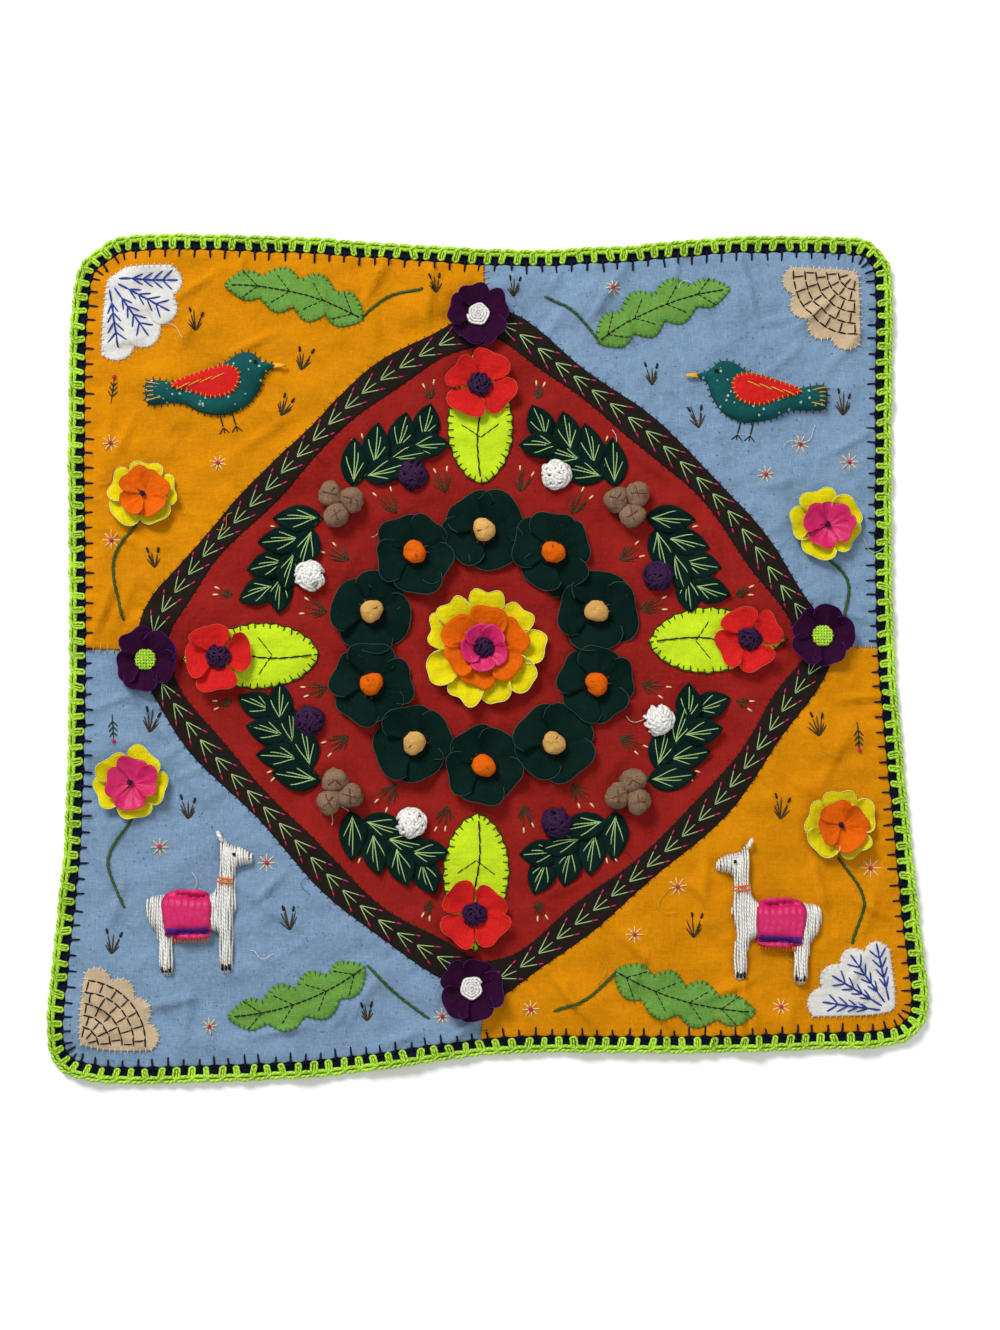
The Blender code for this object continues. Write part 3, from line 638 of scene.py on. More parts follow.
def joined(parts):
    """Several sets of points, faces and twist as one."""
    points, faces, twist, count = [], [], [], 0
    for p, f, t in parts:
        points.append(p)
        faces += [[k + count for k in face] for face in f]
        twist.append(t)
        count += len(p)
    return np.vstack(points), faces, np.vstack(twist)


def yarn_piece(name, parts, material):
    points, faces, twist = joined(parts)
    return add_mesh(name, points, faces, material, twist=twist)


def stitch_tubes(segments, radius, over=surface, lift=0.0, steps=6, sides=5):
    """Straight stitches between pairs of plan points, their ends sunk in the cloth."""
    segments = np.asarray(segments, float).reshape(-1, 4)
    t = np.linspace(0, 1, steps)
    xy = segments[:, None, :2] * (1 - t)[:, None] + segments[:, None, 2:] * t[:, None]
    arch = np.sin(np.pi * t) ** 0.5
    z = over(xy[..., 0], xy[..., 1]) + lift + radius * (1.75 * arch - 0.9)
    return tubes(np.concatenate([xy, z[..., None]], axis=2), radius * (0.8 + 0.25 * arch), sides)


def pairs(points, gap, slant=0.0):
    """Backstitches along a line of points, a little apart."""
    a, b = points[:-1], points[1:]
    step = b - a
    across = np.column_stack([-step[:, 1], step[:, 0]]) * slant
    return np.hstack([a + step * gap - across, b - step * gap + across])


def line_stitches(points, pitch, gap=0.1, slant=0.0, closed=False):
    path = np.asarray(points, float)
    whole = np.vstack([path, path[:1]]) if closed else path
    length = np.linalg.norm(np.diff(whole, axis=0), axis=1).sum()
    return pairs(resampled(whole, max(2, int(round(length / pitch)) + 1), closed=False), gap, slant)


def edge_ticks(loop, pitch, outer, inner, seed, sway=0.18):
    """Short stitches across an outline, from just outside it to some way in."""
    draw = np.random.default_rng(seed)
    length = np.linalg.norm(loop - np.roll(loop, 1, 0), axis=1).sum()
    stations = resampled(loop, max(6, int(round(length / pitch))))
    normals = inward_normals(stations)
    along = np.column_stack([normals[:, 1], -normals[:, 0]])
    reach = inner * draw.uniform(0.8, 1.15, len(stations))[:, None]
    lean = along * draw.uniform(-sway, sway, len(stations))[:, None] * inner
    return np.hstack([stations - normals * outer, stations + normals * reach + lean])


def knot_balls(points, radius, over=surface, lift=0.0, seed=0):
    """Small knots of thread: flattened balls with a wound look."""
    draw = np.random.default_rng(seed)
    parts = []
    for x, y in np.asarray(points, float).reshape(-1, 2):
        start = draw.uniform(0, math.tau)
        t = np.linspace(0, 1, 15)
        angle = start + t * math.tau * 1.6
        around = radius * (0.62 - 0.3 * t)
        z = over(np.array(x), np.array(y)) + lift + radius * (0.35 + 0.75 * t)
        path = np.column_stack([x + around * np.cos(angle), y + around * np.sin(angle), z])
        parts.append(tubes(path[None], radius * 0.45, 5))
    return parts


# Materials

def node(tree, kind, **settings):
    made = tree.nodes.new(kind)
    for name, value in settings.items():
        if name.startswith("in_"):
            made.inputs[name[3:].replace("_", " ")].default_value = value
        else:
            setattr(made, name, value)
    return made


def start_material(name):
    material = bpy.data.materials.new(name)
    material.use_nodes = True
    tree = material.node_tree
    return material, tree, tree.nodes["Principled BSDF"]


def scaled_coordinates(tree, scale):
    where = tree.nodes.new("ShaderNodeTexCoord")
    mapping = node(tree, "ShaderNodeMapping")
    mapping.inputs["Scale"].default_value = scale
    tree.links.new(where.outputs["Object"], mapping.inputs["Vector"])
    return mapping.outputs["Vector"]


def noise(tree, scale, detail=3.0, stretch=(1, 1, 1), rough=0.5):
    made = tree.nodes.new("ShaderNodeTexNoise")
    made.inputs["Scale"].default_value = scale
    made.inputs["Detail"].default_value = detail
    made.inputs["Roughness"].default_value = rough
    tree.links.new(scaled_coordinates(tree, stretch), made.inputs["Vector"])
    return made.outputs["Fac"]


def math_node(tree, operation, a, b):
    made = tree.nodes.new("ShaderNodeMath")
    made.operation = operation
    for socket, value in zip(made.inputs, (a, b)):
        if isinstance(value, (int, float)):
            socket.default_value = value
        else:
            tree.links.new(value, socket)
    return made.outputs[0]


def spread(tree, value, low, high, to_low, to_high):
    made = tree.nodes.new("ShaderNodeMapRange")
    tree.links.new(value, made.inputs["Value"])
    for name, number in (("From Min", low), ("From Max", high), ("To Min", to_low), ("To Max", to_high)):
        made.inputs[name].default_value = number
    return made.outputs["Result"]


def mixed(tree, factor, a, b, blend="MIX"):
    made = tree.nodes.new("ShaderNodeMix")
    made.data_type = "RGBA"
    made.blend_type = blend
    if isinstance(factor, (int, float)):
        made.inputs["Factor"].default_value = factor
    else:
        tree.links.new(factor, made.inputs["Factor"])
    for name, value in (("A", a), ("B", b)):
        socket = [s for s in made.inputs if s.name == name and s.type == "RGBA"][0]
        if isinstance(value, tuple):
            socket.default_value = (*value, 1)
        else:
            tree.links.new(value, socket)
    return [s for s in made.outputs if s.type == "RGBA"][0]


def weave_height(tree, thread):
    """Crossing threads: a fine ripple each way, of that pitch in metres."""
    waves = []
    for direction in ("X", "Y"):
        wave = tree.nodes.new("ShaderNodeTexWave")
        wave.wave_type = "BANDS"
        wave.bands_direction = direction
        wave.inputs["Scale"].default_value = math.tau / (20 * thread)
        wave.inputs["Distortion"].default_value = 1.2
        wave.inputs["Detail"].default_value = 1.0
        wave.inputs["Detail Scale"].default_value = 1.5
        tree.links.new(scaled_coordinates(tree, (1, 1, 1)), wave.inputs["Vector"])
        waves.append(wave.outputs["Fac"])
    return math_node(tree, "MAXIMUM", *waves)


def bump_from(tree, shader, height, strength, distance):
    made = tree.nodes.new("ShaderNodeBump")
    made.inputs["Strength"].default_value = strength
    made.inputs["Distance"].default_value = distance
    tree.links.new(height, made.inputs["Height"])
    tree.links.new(made.outputs["Normal"], shader.inputs["Normal"])


def cotton(name, colour, shade=0.72, thread=0.0006, roughness=0.9, slub=None, fleck=None, mottle=0.35,
           specular=0.04, crumple_depth=0.0011):
    """Woven cotton: crossing threads, slubs, faded patches and perhaps flecks."""
    material, tree, shader = start_material(name)
    dark = tuple(c * shade for c in colour)
    pale = slub or tuple(min(1, c * 1.18 + 0.003) for c in colour)
    blotch = spread(tree, noise(tree, 38, 4.0), 0.35, 0.68, 0.0, 1.0)
    base = mixed(tree, math_node(tree, "MULTIPLY", blotch, mottle), colour, dark)
    grain = spread(tree, noise(tree, 1500, 2.0), 0.3, 0.7, 0.0, 1.0)
    base = mixed(tree, math_node(tree, "MULTIPLY", grain, 0.5), base, dark)
    for stretch in ((1, 12, 1), (12, 1, 1)):
        streak = spread(tree, noise(tree, 240, 3.0, stretch), 0.5, 0.75, 0.0, 0.48)
        base = mixed(tree, streak, base, pale)
    if fleck:
        spots = spread(tree, noise(tree, 620, 2.0), 0.66, 0.74, 0.0, 0.8)
        base = mixed(tree, spots, base, fleck)
    tree.links.new(base, shader.inputs["Base Color"])
    shader.inputs["Roughness"].default_value = roughness
    shader.inputs["Specular IOR Level"].default_value = specular
    weave = weave_height(tree, thread)
    crumple = math_node(tree, "ADD", noise(tree, 240, 4.0),
                        math_node(tree, "MULTIPLY", noise(tree, 70, 3.0, (1, 1, 1), 0.6), 2.2))
    height = math_node(tree, "ADD", math_node(tree, "MULTIPLY", weave, 0.35), crumple)
    bump_from(tree, shader, height, 0.75, crumple_depth)
    return material


def felt(name, colour, shade=0.6):
    """Brushed cloth with a soft nap and no thread to be seen."""
    material, tree, shader = start_material(name)
    nap = spread(tree, noise(tree, 900, 5.0), 0.3, 0.7, 0.0, 1.0)
    base = mixed(tree, nap, tuple(c * shade for c in colour), colour)
    worn = spread(tree, noise(tree, 60, 3.0), 0.4, 0.7, 0.0, 0.3)
    base = mixed(tree, worn, base, tuple(min(1, c * 1.5 + 0.004) for c in colour))
    tree.links.new(base, shader.inputs["Base Color"])
    shader.inputs["Roughness"].default_value = 0.95
    shader.inputs["Specular IOR Level"].default_value = 0.03
    bump_from(tree, shader, noise(tree, 1300, 5.0), 0.6, 0.0005)
    return material


def satin(name, colour):
    """Smooth woven satin with a soft gloss."""
    material, tree, shader = start_material(name)
    fine = spread(tree, noise(tree, 700, 2.0, (1, 9, 1)), 0.3, 0.7, 0.0, 1.0)
    base = mixed(tree, fine, tuple(c * 0.75 for c in colour), colour)
    tree.links.new(base, shader.inputs["Base Color"])
    shader.inputs["Roughness"].default_value = 0.5
    shader.inputs["Specular IOR Level"].default_value = 0.3
    bump_from(tree, shader, noise(tree, 260, 4.0), 0.6, 0.0012)
    return material


def yarn(name, colour, shade=0.45, roughness=0.6, ply=1.7, twist=2.0):
    """Twisted yarn or thread: plies run round each strand, with painted shade in the grooves between them."""
    material, tree, shader = start_material(name)
    where = tree.nodes.new("ShaderNodeUVMap")
    where.uv_map = "twist"
    split = tree.nodes.new("ShaderNodeSeparateXYZ")
    tree.links.new(where.outputs["UV"], split.inputs["Vector"])
    turn = math_node(tree, "ADD", math_node(tree, "MULTIPLY", split.outputs[0], 1 / ply),
                     math_node(tree, "MULTIPLY", split.outputs[1], twist))
    plies = math_node(tree, "SINE", math_node(tree, "MULTIPLY", turn, math.tau), 0.0)
    plies = spread(tree, plies, -1, 1, 0, 1)
    fuzz = noise(tree, 1500, 3.0)
    depth = math_node(tree, "MULTIPLY", plies, spread(tree, fuzz, 0.2, 0.8, 0.6, 1.2))
    # Painted shade: the colour drops to shade times the colour in the grooves between the plies.
    base = mixed(tree, depth, tuple(c * shade for c in colour), colour)
    patch = spread(tree, noise(tree, 90, 2.0), 0.4, 0.7, 0.0, 0.35)
    base = mixed(tree, patch, base, tuple(min(1, c * 1.25) for c in colour))
    tree.links.new(base, shader.inputs["Base Color"])
    shader.inputs["Roughness"].default_value = roughness
    shader.inputs["Specular IOR Level"].default_value = 0.2
    bump_from(tree, shader, math_node(tree, "ADD", plies, fuzz), 0.6, 0.0003)
    return material


def printed(name, ground, dot):
    """Cotton with a plain scattered dot print."""
    material, tree, shader = start_material(name)
    cells = tree.nodes.new("ShaderNodeTexVoronoi")
    cells.inputs["Scale"].default_value = 300
    tree.links.new(scaled_coordinates(tree, (1, 1, 0.01)), cells.inputs["Vector"])
    dots = spread(tree, cells.outputs["Distance"], 0.16, 0.22, 1.0, 0.0)
    base = mixed(tree, spread(tree, noise(tree, 60, 3.0), 0.3, 0.7, 0, 1), tuple(c * 0.6 for c in ground),
                 ground)
    base = mixed(tree, dots, base, dot)
    tree.links.new(base, shader.inputs["Base Color"])
    shader.inputs["Roughness"].default_value = 0.85
    shader.inputs["Specular IOR Level"].default_value = 0.15
    weave = math_node(tree, "MULTIPLY", weave_height(tree, 0.0006), 0.35)
    bump_from(tree, shader, math_node(tree, "ADD", noise(tree, 170, 4.0), weave), 0.85, 0.0020)
    return material


def make_materials():
    return {
        "navy": cotton("navy_cotton", (0.0030, 0.0065, 0.018), thread=0.0008, specular=0.12),
        "red": cotton("red_cotton", (0.325, 0.0165, 0.0125), 0.58, fleck=(0.13, 0.010, 0.007), mottle=0.5),
        "brown": cotton("brown_cotton", (0.0145, 0.0090, 0.0068), 0.6, specular=0.12),
        "ochre": cotton("ochre_cotton", (0.71, 0.262, 0.002), 0.62, mottle=0.45),
        "blue": cotton("blue_chambray", (0.192, 0.308, 0.462), 0.70, slub=(0.35, 0.46, 0.62),
                       fleck=(0.03, 0.06, 0.22)),
        "neon": cotton("neon_cotton", (0.58, 0.80, 0.018), 0.72, mottle=0.4),
        "leaf_green": cotton("leaf_cotton", (0.14, 0.33, 0.050), 0.6, slub=(0.26, 0.48, 0.14)),
        "scarlet": cotton("scarlet_cotton", (0.76, 0.020, 0.018), 0.55, mottle=0.5, crumple_depth=0.0017),
        "orange": cotton("orange_cotton", (0.90, 0.15, 0.004), 0.62, mottle=0.5, crumple_depth=0.0017),
        "yellow": cotton("yellow_cotton", (0.90, 0.76, 0.008), 0.70, mottle=0.3, crumple_depth=0.0017),
        "plum": cotton("plum_cotton", (0.036, 0.0046, 0.034), 0.50, crumple_depth=0.0017),
        "cream": cotton("cream_cotton", (0.78, 0.42, 0.11), 0.55, slub=(0.88, 0.60, 0.26), mottle=0.8),
        "white": cotton("white_cotton", (0.74, 0.72, 0.68), 0.80, slub=(0.86, 0.85, 0.82)),
        "linen": cotton("linen_cotton", (0.58, 0.43, 0.27), 0.75, slub=(0.70, 0.56, 0.38)),
        "tan": cotton("tan_cotton", (0.33, 0.19, 0.115), 0.5, slub=(0.47, 0.32, 0.22), mottle=0.9,
                      crumple_depth=0.0020),
        "dark_green": felt("green_felt", (0.0024, 0.0135, 0.0106)),
        "magenta": satin("magenta_satin", (0.56, 0.008, 0.11)),
        "teal": printed("teal_print", (0.006, 0.13, 0.13), (0.50, 0.70, 0.58)),
        "lime_yarn": yarn("lime_yarn", (0.45, 0.77, 0.050), 0.38, 0.55, 2.4, 2.0),
        "navy_yarn": yarn("navy_yarn", (0.0025, 0.0045, 0.026), 0.5, 0.8),
        "stem_yarn": yarn("stem_yarn", (0.036, 0.100, 0.016), 0.5),
        "white_yarn": yarn("white_yarn", (0.82, 0.80, 0.75), 0.6, 0.7, 2.2),
        "purple_yarn": yarn("purple_yarn", (0.030, 0.004, 0.045), 0.45, 0.7),
        "violet_yarn": yarn("violet_yarn", (0.10, 0.012, 0.22), 0.6),
        "brown_yarn": yarn("brown_yarn", (0.012, 0.006, 0.004), 0.5),
        "green_yarn": yarn("green_yarn", (0.012, 0.050, 0.012), 0.5),
        "olive_yarn": yarn("olive_yarn", (0.055, 0.038, 0.010), 0.5),
        "moss_yarn": yarn("moss_yarn", (0.030, 0.078, 0.062), 0.6),
        "bark_yarn": yarn("bark_yarn", (0.115, 0.062, 0.034), 0.5),
        # Near-black yarn for the painted shadow round the berries' feet.
        "painted_shadow_yarn": yarn("painted_shadow_yarn", (0.0030, 0.0036, 0.0026), 0.5, 0.9),
        "lemon_yarn": yarn("lemon_yarn", (0.90, 0.92, 0.30), 0.8),
        "coral_yarn": yarn("coral_yarn", (0.90, 0.10, 0.05), 0.7),
        "rust_yarn": yarn("rust_yarn", (0.26, 0.075, 0.015), 0.5),
        "pale_yarn": yarn("pale_yarn", (0.42, 0.62, 0.24), 0.6),
        "leaf_yarn": yarn("leaf_yarn", (0.05, 0.18, 0.025), 0.55),
        "pink_yarn": yarn("pink_yarn", (0.62, 0.014, 0.11), 0.55),
        "cream_yarn": yarn("cream_yarn", (0.88, 0.62, 0.30), 0.6),
        "gold_yarn": yarn("gold_yarn", (0.80, 0.40, 0.03), 0.6),
        "blue_yarn": yarn("blue_yarn", (0.012, 0.045, 0.34), 0.55),
        "orange_yarn": yarn("orange_yarn", (0.88, 0.15, 0.006), 0.6),
    }


# Pieces

def quadrant_loop(side_x, side_y, panel, seam):
    """The panel's part beyond the diamond, in one corner, past its seams by some way."""
    cx, cy = DESIGN_CENTRE
    beyond = (panel[:, 0] - cx) * side_x > -seam
    above = (panel[:, 1] - cy) * side_y > -seam
    keep = beyond & above
    start = int(np.flatnonzero(keep & ~np.roll(keep, 1))[0])
    outer = np.roll(panel, -start, 0)[:int(keep.sum())]
    inner = diamond(FRAME_SHAPE, 460, grow=-LAP)
    chosen = ((inner[:, 0] - cx) * side_x > -seam) & ((inner[:, 1] - cy) * side_y > -seam)
    first = int(np.flatnonzero(chosen & ~np.roll(chosen, 1))[0])
    curve = np.roll(inner, -first, 0)[:int(chosen.sum())]
    first_seam = resampled([outer[-1], curve[-1]], 16, closed=False)[1:-1]
    second_seam = resampled([curve[0], outer[0]], 16, closed=False)[1:-1]
    sway = 0.35 * np.sin(np.arange(14) * 2.3)
    first_seam += np.outer(sway, (1, 1)) * np.abs((first_seam[0] - first_seam[-1])[::-1] > 20)
    return np.vstack([outer, first_seam, curve[::-1], second_seam])


def lapped_lay(x, y):
    """The lay, raised beside the seams where one corner cloth laps over its neighbour."""
    x, y = np.asarray(x, float), np.asarray(y, float)
    off = np.minimum(np.abs(x - DESIGN_CENTRE[0]), np.abs(y - DESIGN_CENTRE[1]))
    return lay(x, y) + 0.75 * np.clip((6 - off) / 5, 0, 1)


BACKING_ROWS = (4.9, 6.9)


def backing_lay(x, y):
    """The lay near the rim; under the pieced cloths the backing has their soft folds alone."""
    inset, _ = edge_distance(np.column_stack([x, y]), RIM_POINTS)
    start, end = (BACKING_INSET + row for row in BACKING_ROWS)
    return lay(x, y, 1 - np.clip((inset - start) / (end - start), 0, 1))


def build_field(m):
    """The backing, the pieced cloths and the seams between them."""
    stations = np.arange(RIM_STATIONS) / RIM_STATIONS
    backing_loop = rim_place(stations, np.full(RIM_STATIONS, BACKING_INSET))
    backing = cloth("backing", backing_loop, 0.95, BACKING_TOP, m["navy"], pitch=3.6,
                    under=backing_lay, rounding=0.8, thickness=0.9, rows=BACKING_ROWS)
    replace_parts(backing, "backing_cloth")

    count = STITCH_COUNT * 4
    share = np.arange(count) / count
    draw = np.random.default_rng(5)
    scallop = 0.45 * np.cos(math.tau * (share * STITCH_COUNT - 0.5))
    panel = rim_place(share, PANEL_INSET + scallop + draw.uniform(-0.15, 0.15, count))
    for name, side_x, side_y, colour in (
        ("nw", -1, 1, "ochre"), ("ne", 1, 1, "blue"), ("sw", -1, -1, "blue"), ("se", 1, -1, "ochre"),
    ):
        lapped = colour == "ochre"
        loop = quadrant_loop(side_x, side_y, panel, 1.6 if lapped else 0.8)
        corner = cloth(f"corner_{name}", loop, FIELD_LOW, FIELD_TOP, m[colour],
                       pitch=2.0, under=lapped_lay if lapped else lay, pucker=Pucker(7.7, 1.1, 9.5),
                       seed=7)
        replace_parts(corner, f"corner_cloth_{name}")

    red_loop = diamond(RED_SHAPE, 420, grow=LAP)
    red = cloth("red_diamond", red_loop, FIELD_LOW, FIELD_TOP, m["red"], seed=9)
    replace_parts(red, "diamond_cloth_red")
    band = cloth("brown_band", FRAME_LOOP, FIELD_TOP - 0.25, BAND_TOP, m["brown"], pitch=2.0,
                 holes=[RED_LOOP], pucker=Pucker(5.2, 0.4, 3.5))
    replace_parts(band, "frame_cloth_brown")

    outer = edge_ticks(FRAME_LOOP, 4.6, 0.9, 1.5, 21)
    inner = edge_ticks(RED_LOOP, 4.6, 1.5, 0.9, 22)
    seams = []
    cx, cy = DESIGN_CENTRE
    for start, end in (((cx, 178), (cx, 197)), ((cx, -172), (cx, -191)), ((-180, cy), (-201, cy)),
                       ((176, cy), (195, cy))):
        for x, y in resampled([start, end], 7, closed=False):
            upright = abs(x - cx) < 1
            seams.append((x - 2.6, y, x + 2.6, y + 0.6) if upright else (x, y - 2.6, x + 0.6, y + 2.6))
    yarn_piece("seam_whipping", [stitch_tubes(seams, 0.22, lift=0.5)], m["gold_yarn"])
    yarn_piece("band_whipping", [stitch_tubes(outer, 0.22), stitch_tubes(inner, 0.22)], m["brown_yarn"])


def local_strands(centres, offsets):
    """Strand paths in the rim's own directions: share of a stitch, millimetres in, millimetres up."""
    share = (centres[:, None] + offsets[None, :, 0]) / STITCH_COUNT
    inset = np.broadcast_to(offsets[None, :, 1], share.shape)
    plan = rim_place(share, inset)
    z = offsets[None, :, 2] + lay(plan[..., 0], plan[..., 1])
    return np.concatenate([plan, z[..., None]], axis=2)


def build_edging(m):
    """Crochet in lime yarn: a plaited chain round the rim, and looped posts into the cloth."""
    draw = np.random.default_rng(31)
    steps = STITCH_COUNT * 8
    share = np.arange(steps) / steps
    phase = share * STITCH_COUNT
    swell = np.abs(np.sin(math.pi * phase)) ** 0.7
    wander = 0.12 * np.sin(math.tau * share * 37) + 0.08 * np.sin(math.tau * share * 91 + 1)
    parts = []
    for side, inset, height in ((-1, 1.95, 2.55), (1, 1.95, 2.55)):
        v = inset + side * (0.35 + 0.82 * swell) + wander
        plan = rim_place(share, v)
        z = height + 0.55 * swell * (1 if side > 0 else 0.6) + lay(plan[:, 0], plan[:, 1])
        parts.append(tubes(np.column_stack([plan, z])[None], 0.80 + 0.12 * swell, 8, closed=True))
    half = STITCH_COUNT * 4
    share = np.arange(half) / half
    for inset, height in ((1.15, 1.0), (3.0, 1.05)):
        sway = 0.25 * np.sin(math.tau * share * STITCH_COUNT)
        plan = rim_place(share, inset + sway)
        z = height + 0.15 * np.cos(math.tau * share * STITCH_COUNT) + lay(plan[:, 0], plan[:, 1])
        parts.append(tubes(np.column_stack([plan, z])[None], 0.95, 6, closed=True))

    bend = np.linspace(math.pi, 0, 7)
    width = 0.155
    for stitch in range(STITCH_COUNT):
        lean = draw.uniform(-0.14, 0.14)
        spread_out = width * draw.uniform(0.75, 1.25)
        tip = draw.uniform(6.9, 7.6)
        height = draw.uniform(2.9, 3.3)
        down = [(-spread_out * 0.8, 2.0, height), (-spread_out, 3.4, height + 0.15),
                (-spread_out + 0.5 * lean, 5.0, height - 0.1)]
        turn = [(lean + spread_out * math.cos(a), tip + 0.75 * math.sin(a) - 0.5,
                 height - 0.35 - 0.45 * math.sin(a)) for a in bend]
        back = [(spread_out + 0.5 * lean, 5.0, height - 0.1), (spread_out, 3.4, height + 0.15),
                (spread_out * 0.8, 2.0, height)]
        loop = np.array(down + turn + back)
        parts.append(tubes(local_strands(np.array([float(stitch)]), loop), 0.66, 6))
        core = np.array([(0, 1.2, height - 0.5), (0.2 * lean, 3.2, height - 0.3), (0.6 * lean, 5.0, height - 0.6),
                         (lean, 7.2, height - 1.3)])
        parts.append(tubes(local_strands(np.array([float(stitch)]), core), 0.6, 5))
        cross = np.array([(-0.32, 0.55, height - 0.2), (-0.12, 1.3, height + 0.5), (0.1, 2.4, height + 0.65),
                          (0.3, 3.3, height - 0.1)])
        parts.append(tubes(local_strands(np.array([float(stitch)]), cross), 0.62, 5))
    edging = yarn_piece("crochet", parts, m["lime_yarn"])
    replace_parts(edging, "crochet_edging")

    windows = np.arange(STITCH_COUNT) + 0.5 + draw.uniform(-0.05, 0.05, STITCH_COUNT)
    outer = rim_place(windows / STITCH_COUNT, np.full(STITCH_COUNT, 7.1))
    inner_share = (windows + draw.uniform(-0.08, 0.08, STITCH_COUNT)) / STITCH_COUNT
    inner = rim_place(inner_share, draw.uniform(11.6, 13.6, STITCH_COUNT))
    ticks = stitch_tubes(np.hstack([outer, inner]), 0.5, steps=8, sides=6)
    along = []
    for k in range(STITCH_COUNT):
        a, b = windows[k] / STITCH_COUNT, (windows[k] + 1) / STITCH_COUNT
        ends = rim_place(np.array([a, b]), np.array([7.2, 7.2]))
        along.append([*ends[0], *ends[1]])
    runs = stitch_tubes(along, 0.42, over=lambda x, y: lay(x, y) + BACKING_TOP + 0.5, steps=5)
    yarn_piece("edge_blanket_stitch", [ticks, runs], m["navy_yarn"])


def crease_rise(x, y):
    """How far the creases lift a place above the solids' soft folds."""
    return float(lay(x, y) - ridges(np.asarray(x, float), np.asarray(y, float), FOLDS))


def centre_of(name):
    """The middle of a node in plan, and the height that it stands at over the creases."""
    low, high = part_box(name)
    x, y = (low.x + high.x) / 2 / MM, (low.y + high.y) / 2 / MM
    return x, y, low.z / MM + crease_rise(x, y)


def whorl(name, x, y, z, petals, radius, cup, material, turn=0.0, overlap=1.3, curl=1.0, crest=0.0,
          notch=0.0, square=2.6, seed=1, thickness=0.45, lap=0.62, over=None, edges=None):
    """Cloth petals cut as a row and gathered round a middle, each lapping over the next one."""
    draw = np.random.default_rng(seed)
    rows, columns = 12, 15
    t = np.linspace(0.05, 1, rows)[:, None]
    u = np.linspace(-1, 1, columns)[None]
    step = math.tau / petals
    points, faces, flat_area = [], [], 0.0
    for k in range(petals):
        heading = math.radians(turn) + step * (k + draw.uniform(-0.09, 0.09))
        half = step / 2 * overlap * draw.uniform(0.94, 1.08)
        reach = radius * draw.uniform(0.90, 1.03)
        skew, phase, ripple = draw.uniform(-0.10, 0.10), draw.uniform(0, math.tau), draw.uniform(0, math.tau)
        lift = draw.uniform(0.75, 1.25)
        edge = 1 - 0.30 * np.abs(u) ** square - notch * np.exp(-(u / 0.28) ** 2) + skew * u
        edge = edge + 0.025 * np.sin(5 * u + phase)
        r = t * reach * edge
        a = heading + u * half * (0.8 + 0.2 * t)
        rise = np.clip((t - 0.18) / 0.82, 0, 1)
        body = cup * lift * rise ** 1.3
        if crest:
            body = body * (1 - 0.9 * rise ** 3) + crest * lift * np.sin(np.pi * rise ** 0.75)
        side = lap * u * t
        fold = 0.5 * np.cos(3.2 * np.pi * u + phase) * (1 - t) ** 0.7 * t ** 0.5
        fold = fold + 0.55 * np.exp(-((u - 2 * skew) / 0.16) ** 2) * t * (1 - 0.6 * t)
        wave = curl * (0.75 * np.sin(2.6 * u + ripple) + 0.45 * np.sin(6.1 * u + phase)) * t ** 3
        pz = np.maximum(z + 0.55 + body + side + fold + wave, z + 0.45 + 0.25 * t + 0.2 * (u + 1))
        px, py = x + r * np.cos(a), y + r * np.sin(a)
        if over is not None:
            pz = np.maximum(pz, over(px, py) + 0.3 + 0.3 * t + 0.15 * (u + 1))
        if edges is not None:
            edges.append(np.stack([px[-1], py[-1], pz[-1] + 0.02], axis=1))
        first = sum(len(p) for p in points)
        points.append(np.column_stack([px.ravel(), py.ravel(), pz.ravel()]))
        grid = first + np.arange(rows * columns).reshape(rows, columns)
        quads = np.stack([grid[:-1, :-1], grid[1:, :-1], grid[1:, 1:], grid[:-1, 1:]], axis=2)
        faces += quads.reshape(-1, 4).tolist()
        flat_area += float((0.5 * (reach * edge) ** 2).mean() * 2 * half * 0.9)
    made = thickened(add_mesh(name, np.vstack(points), faces, material), thickness)
    return made


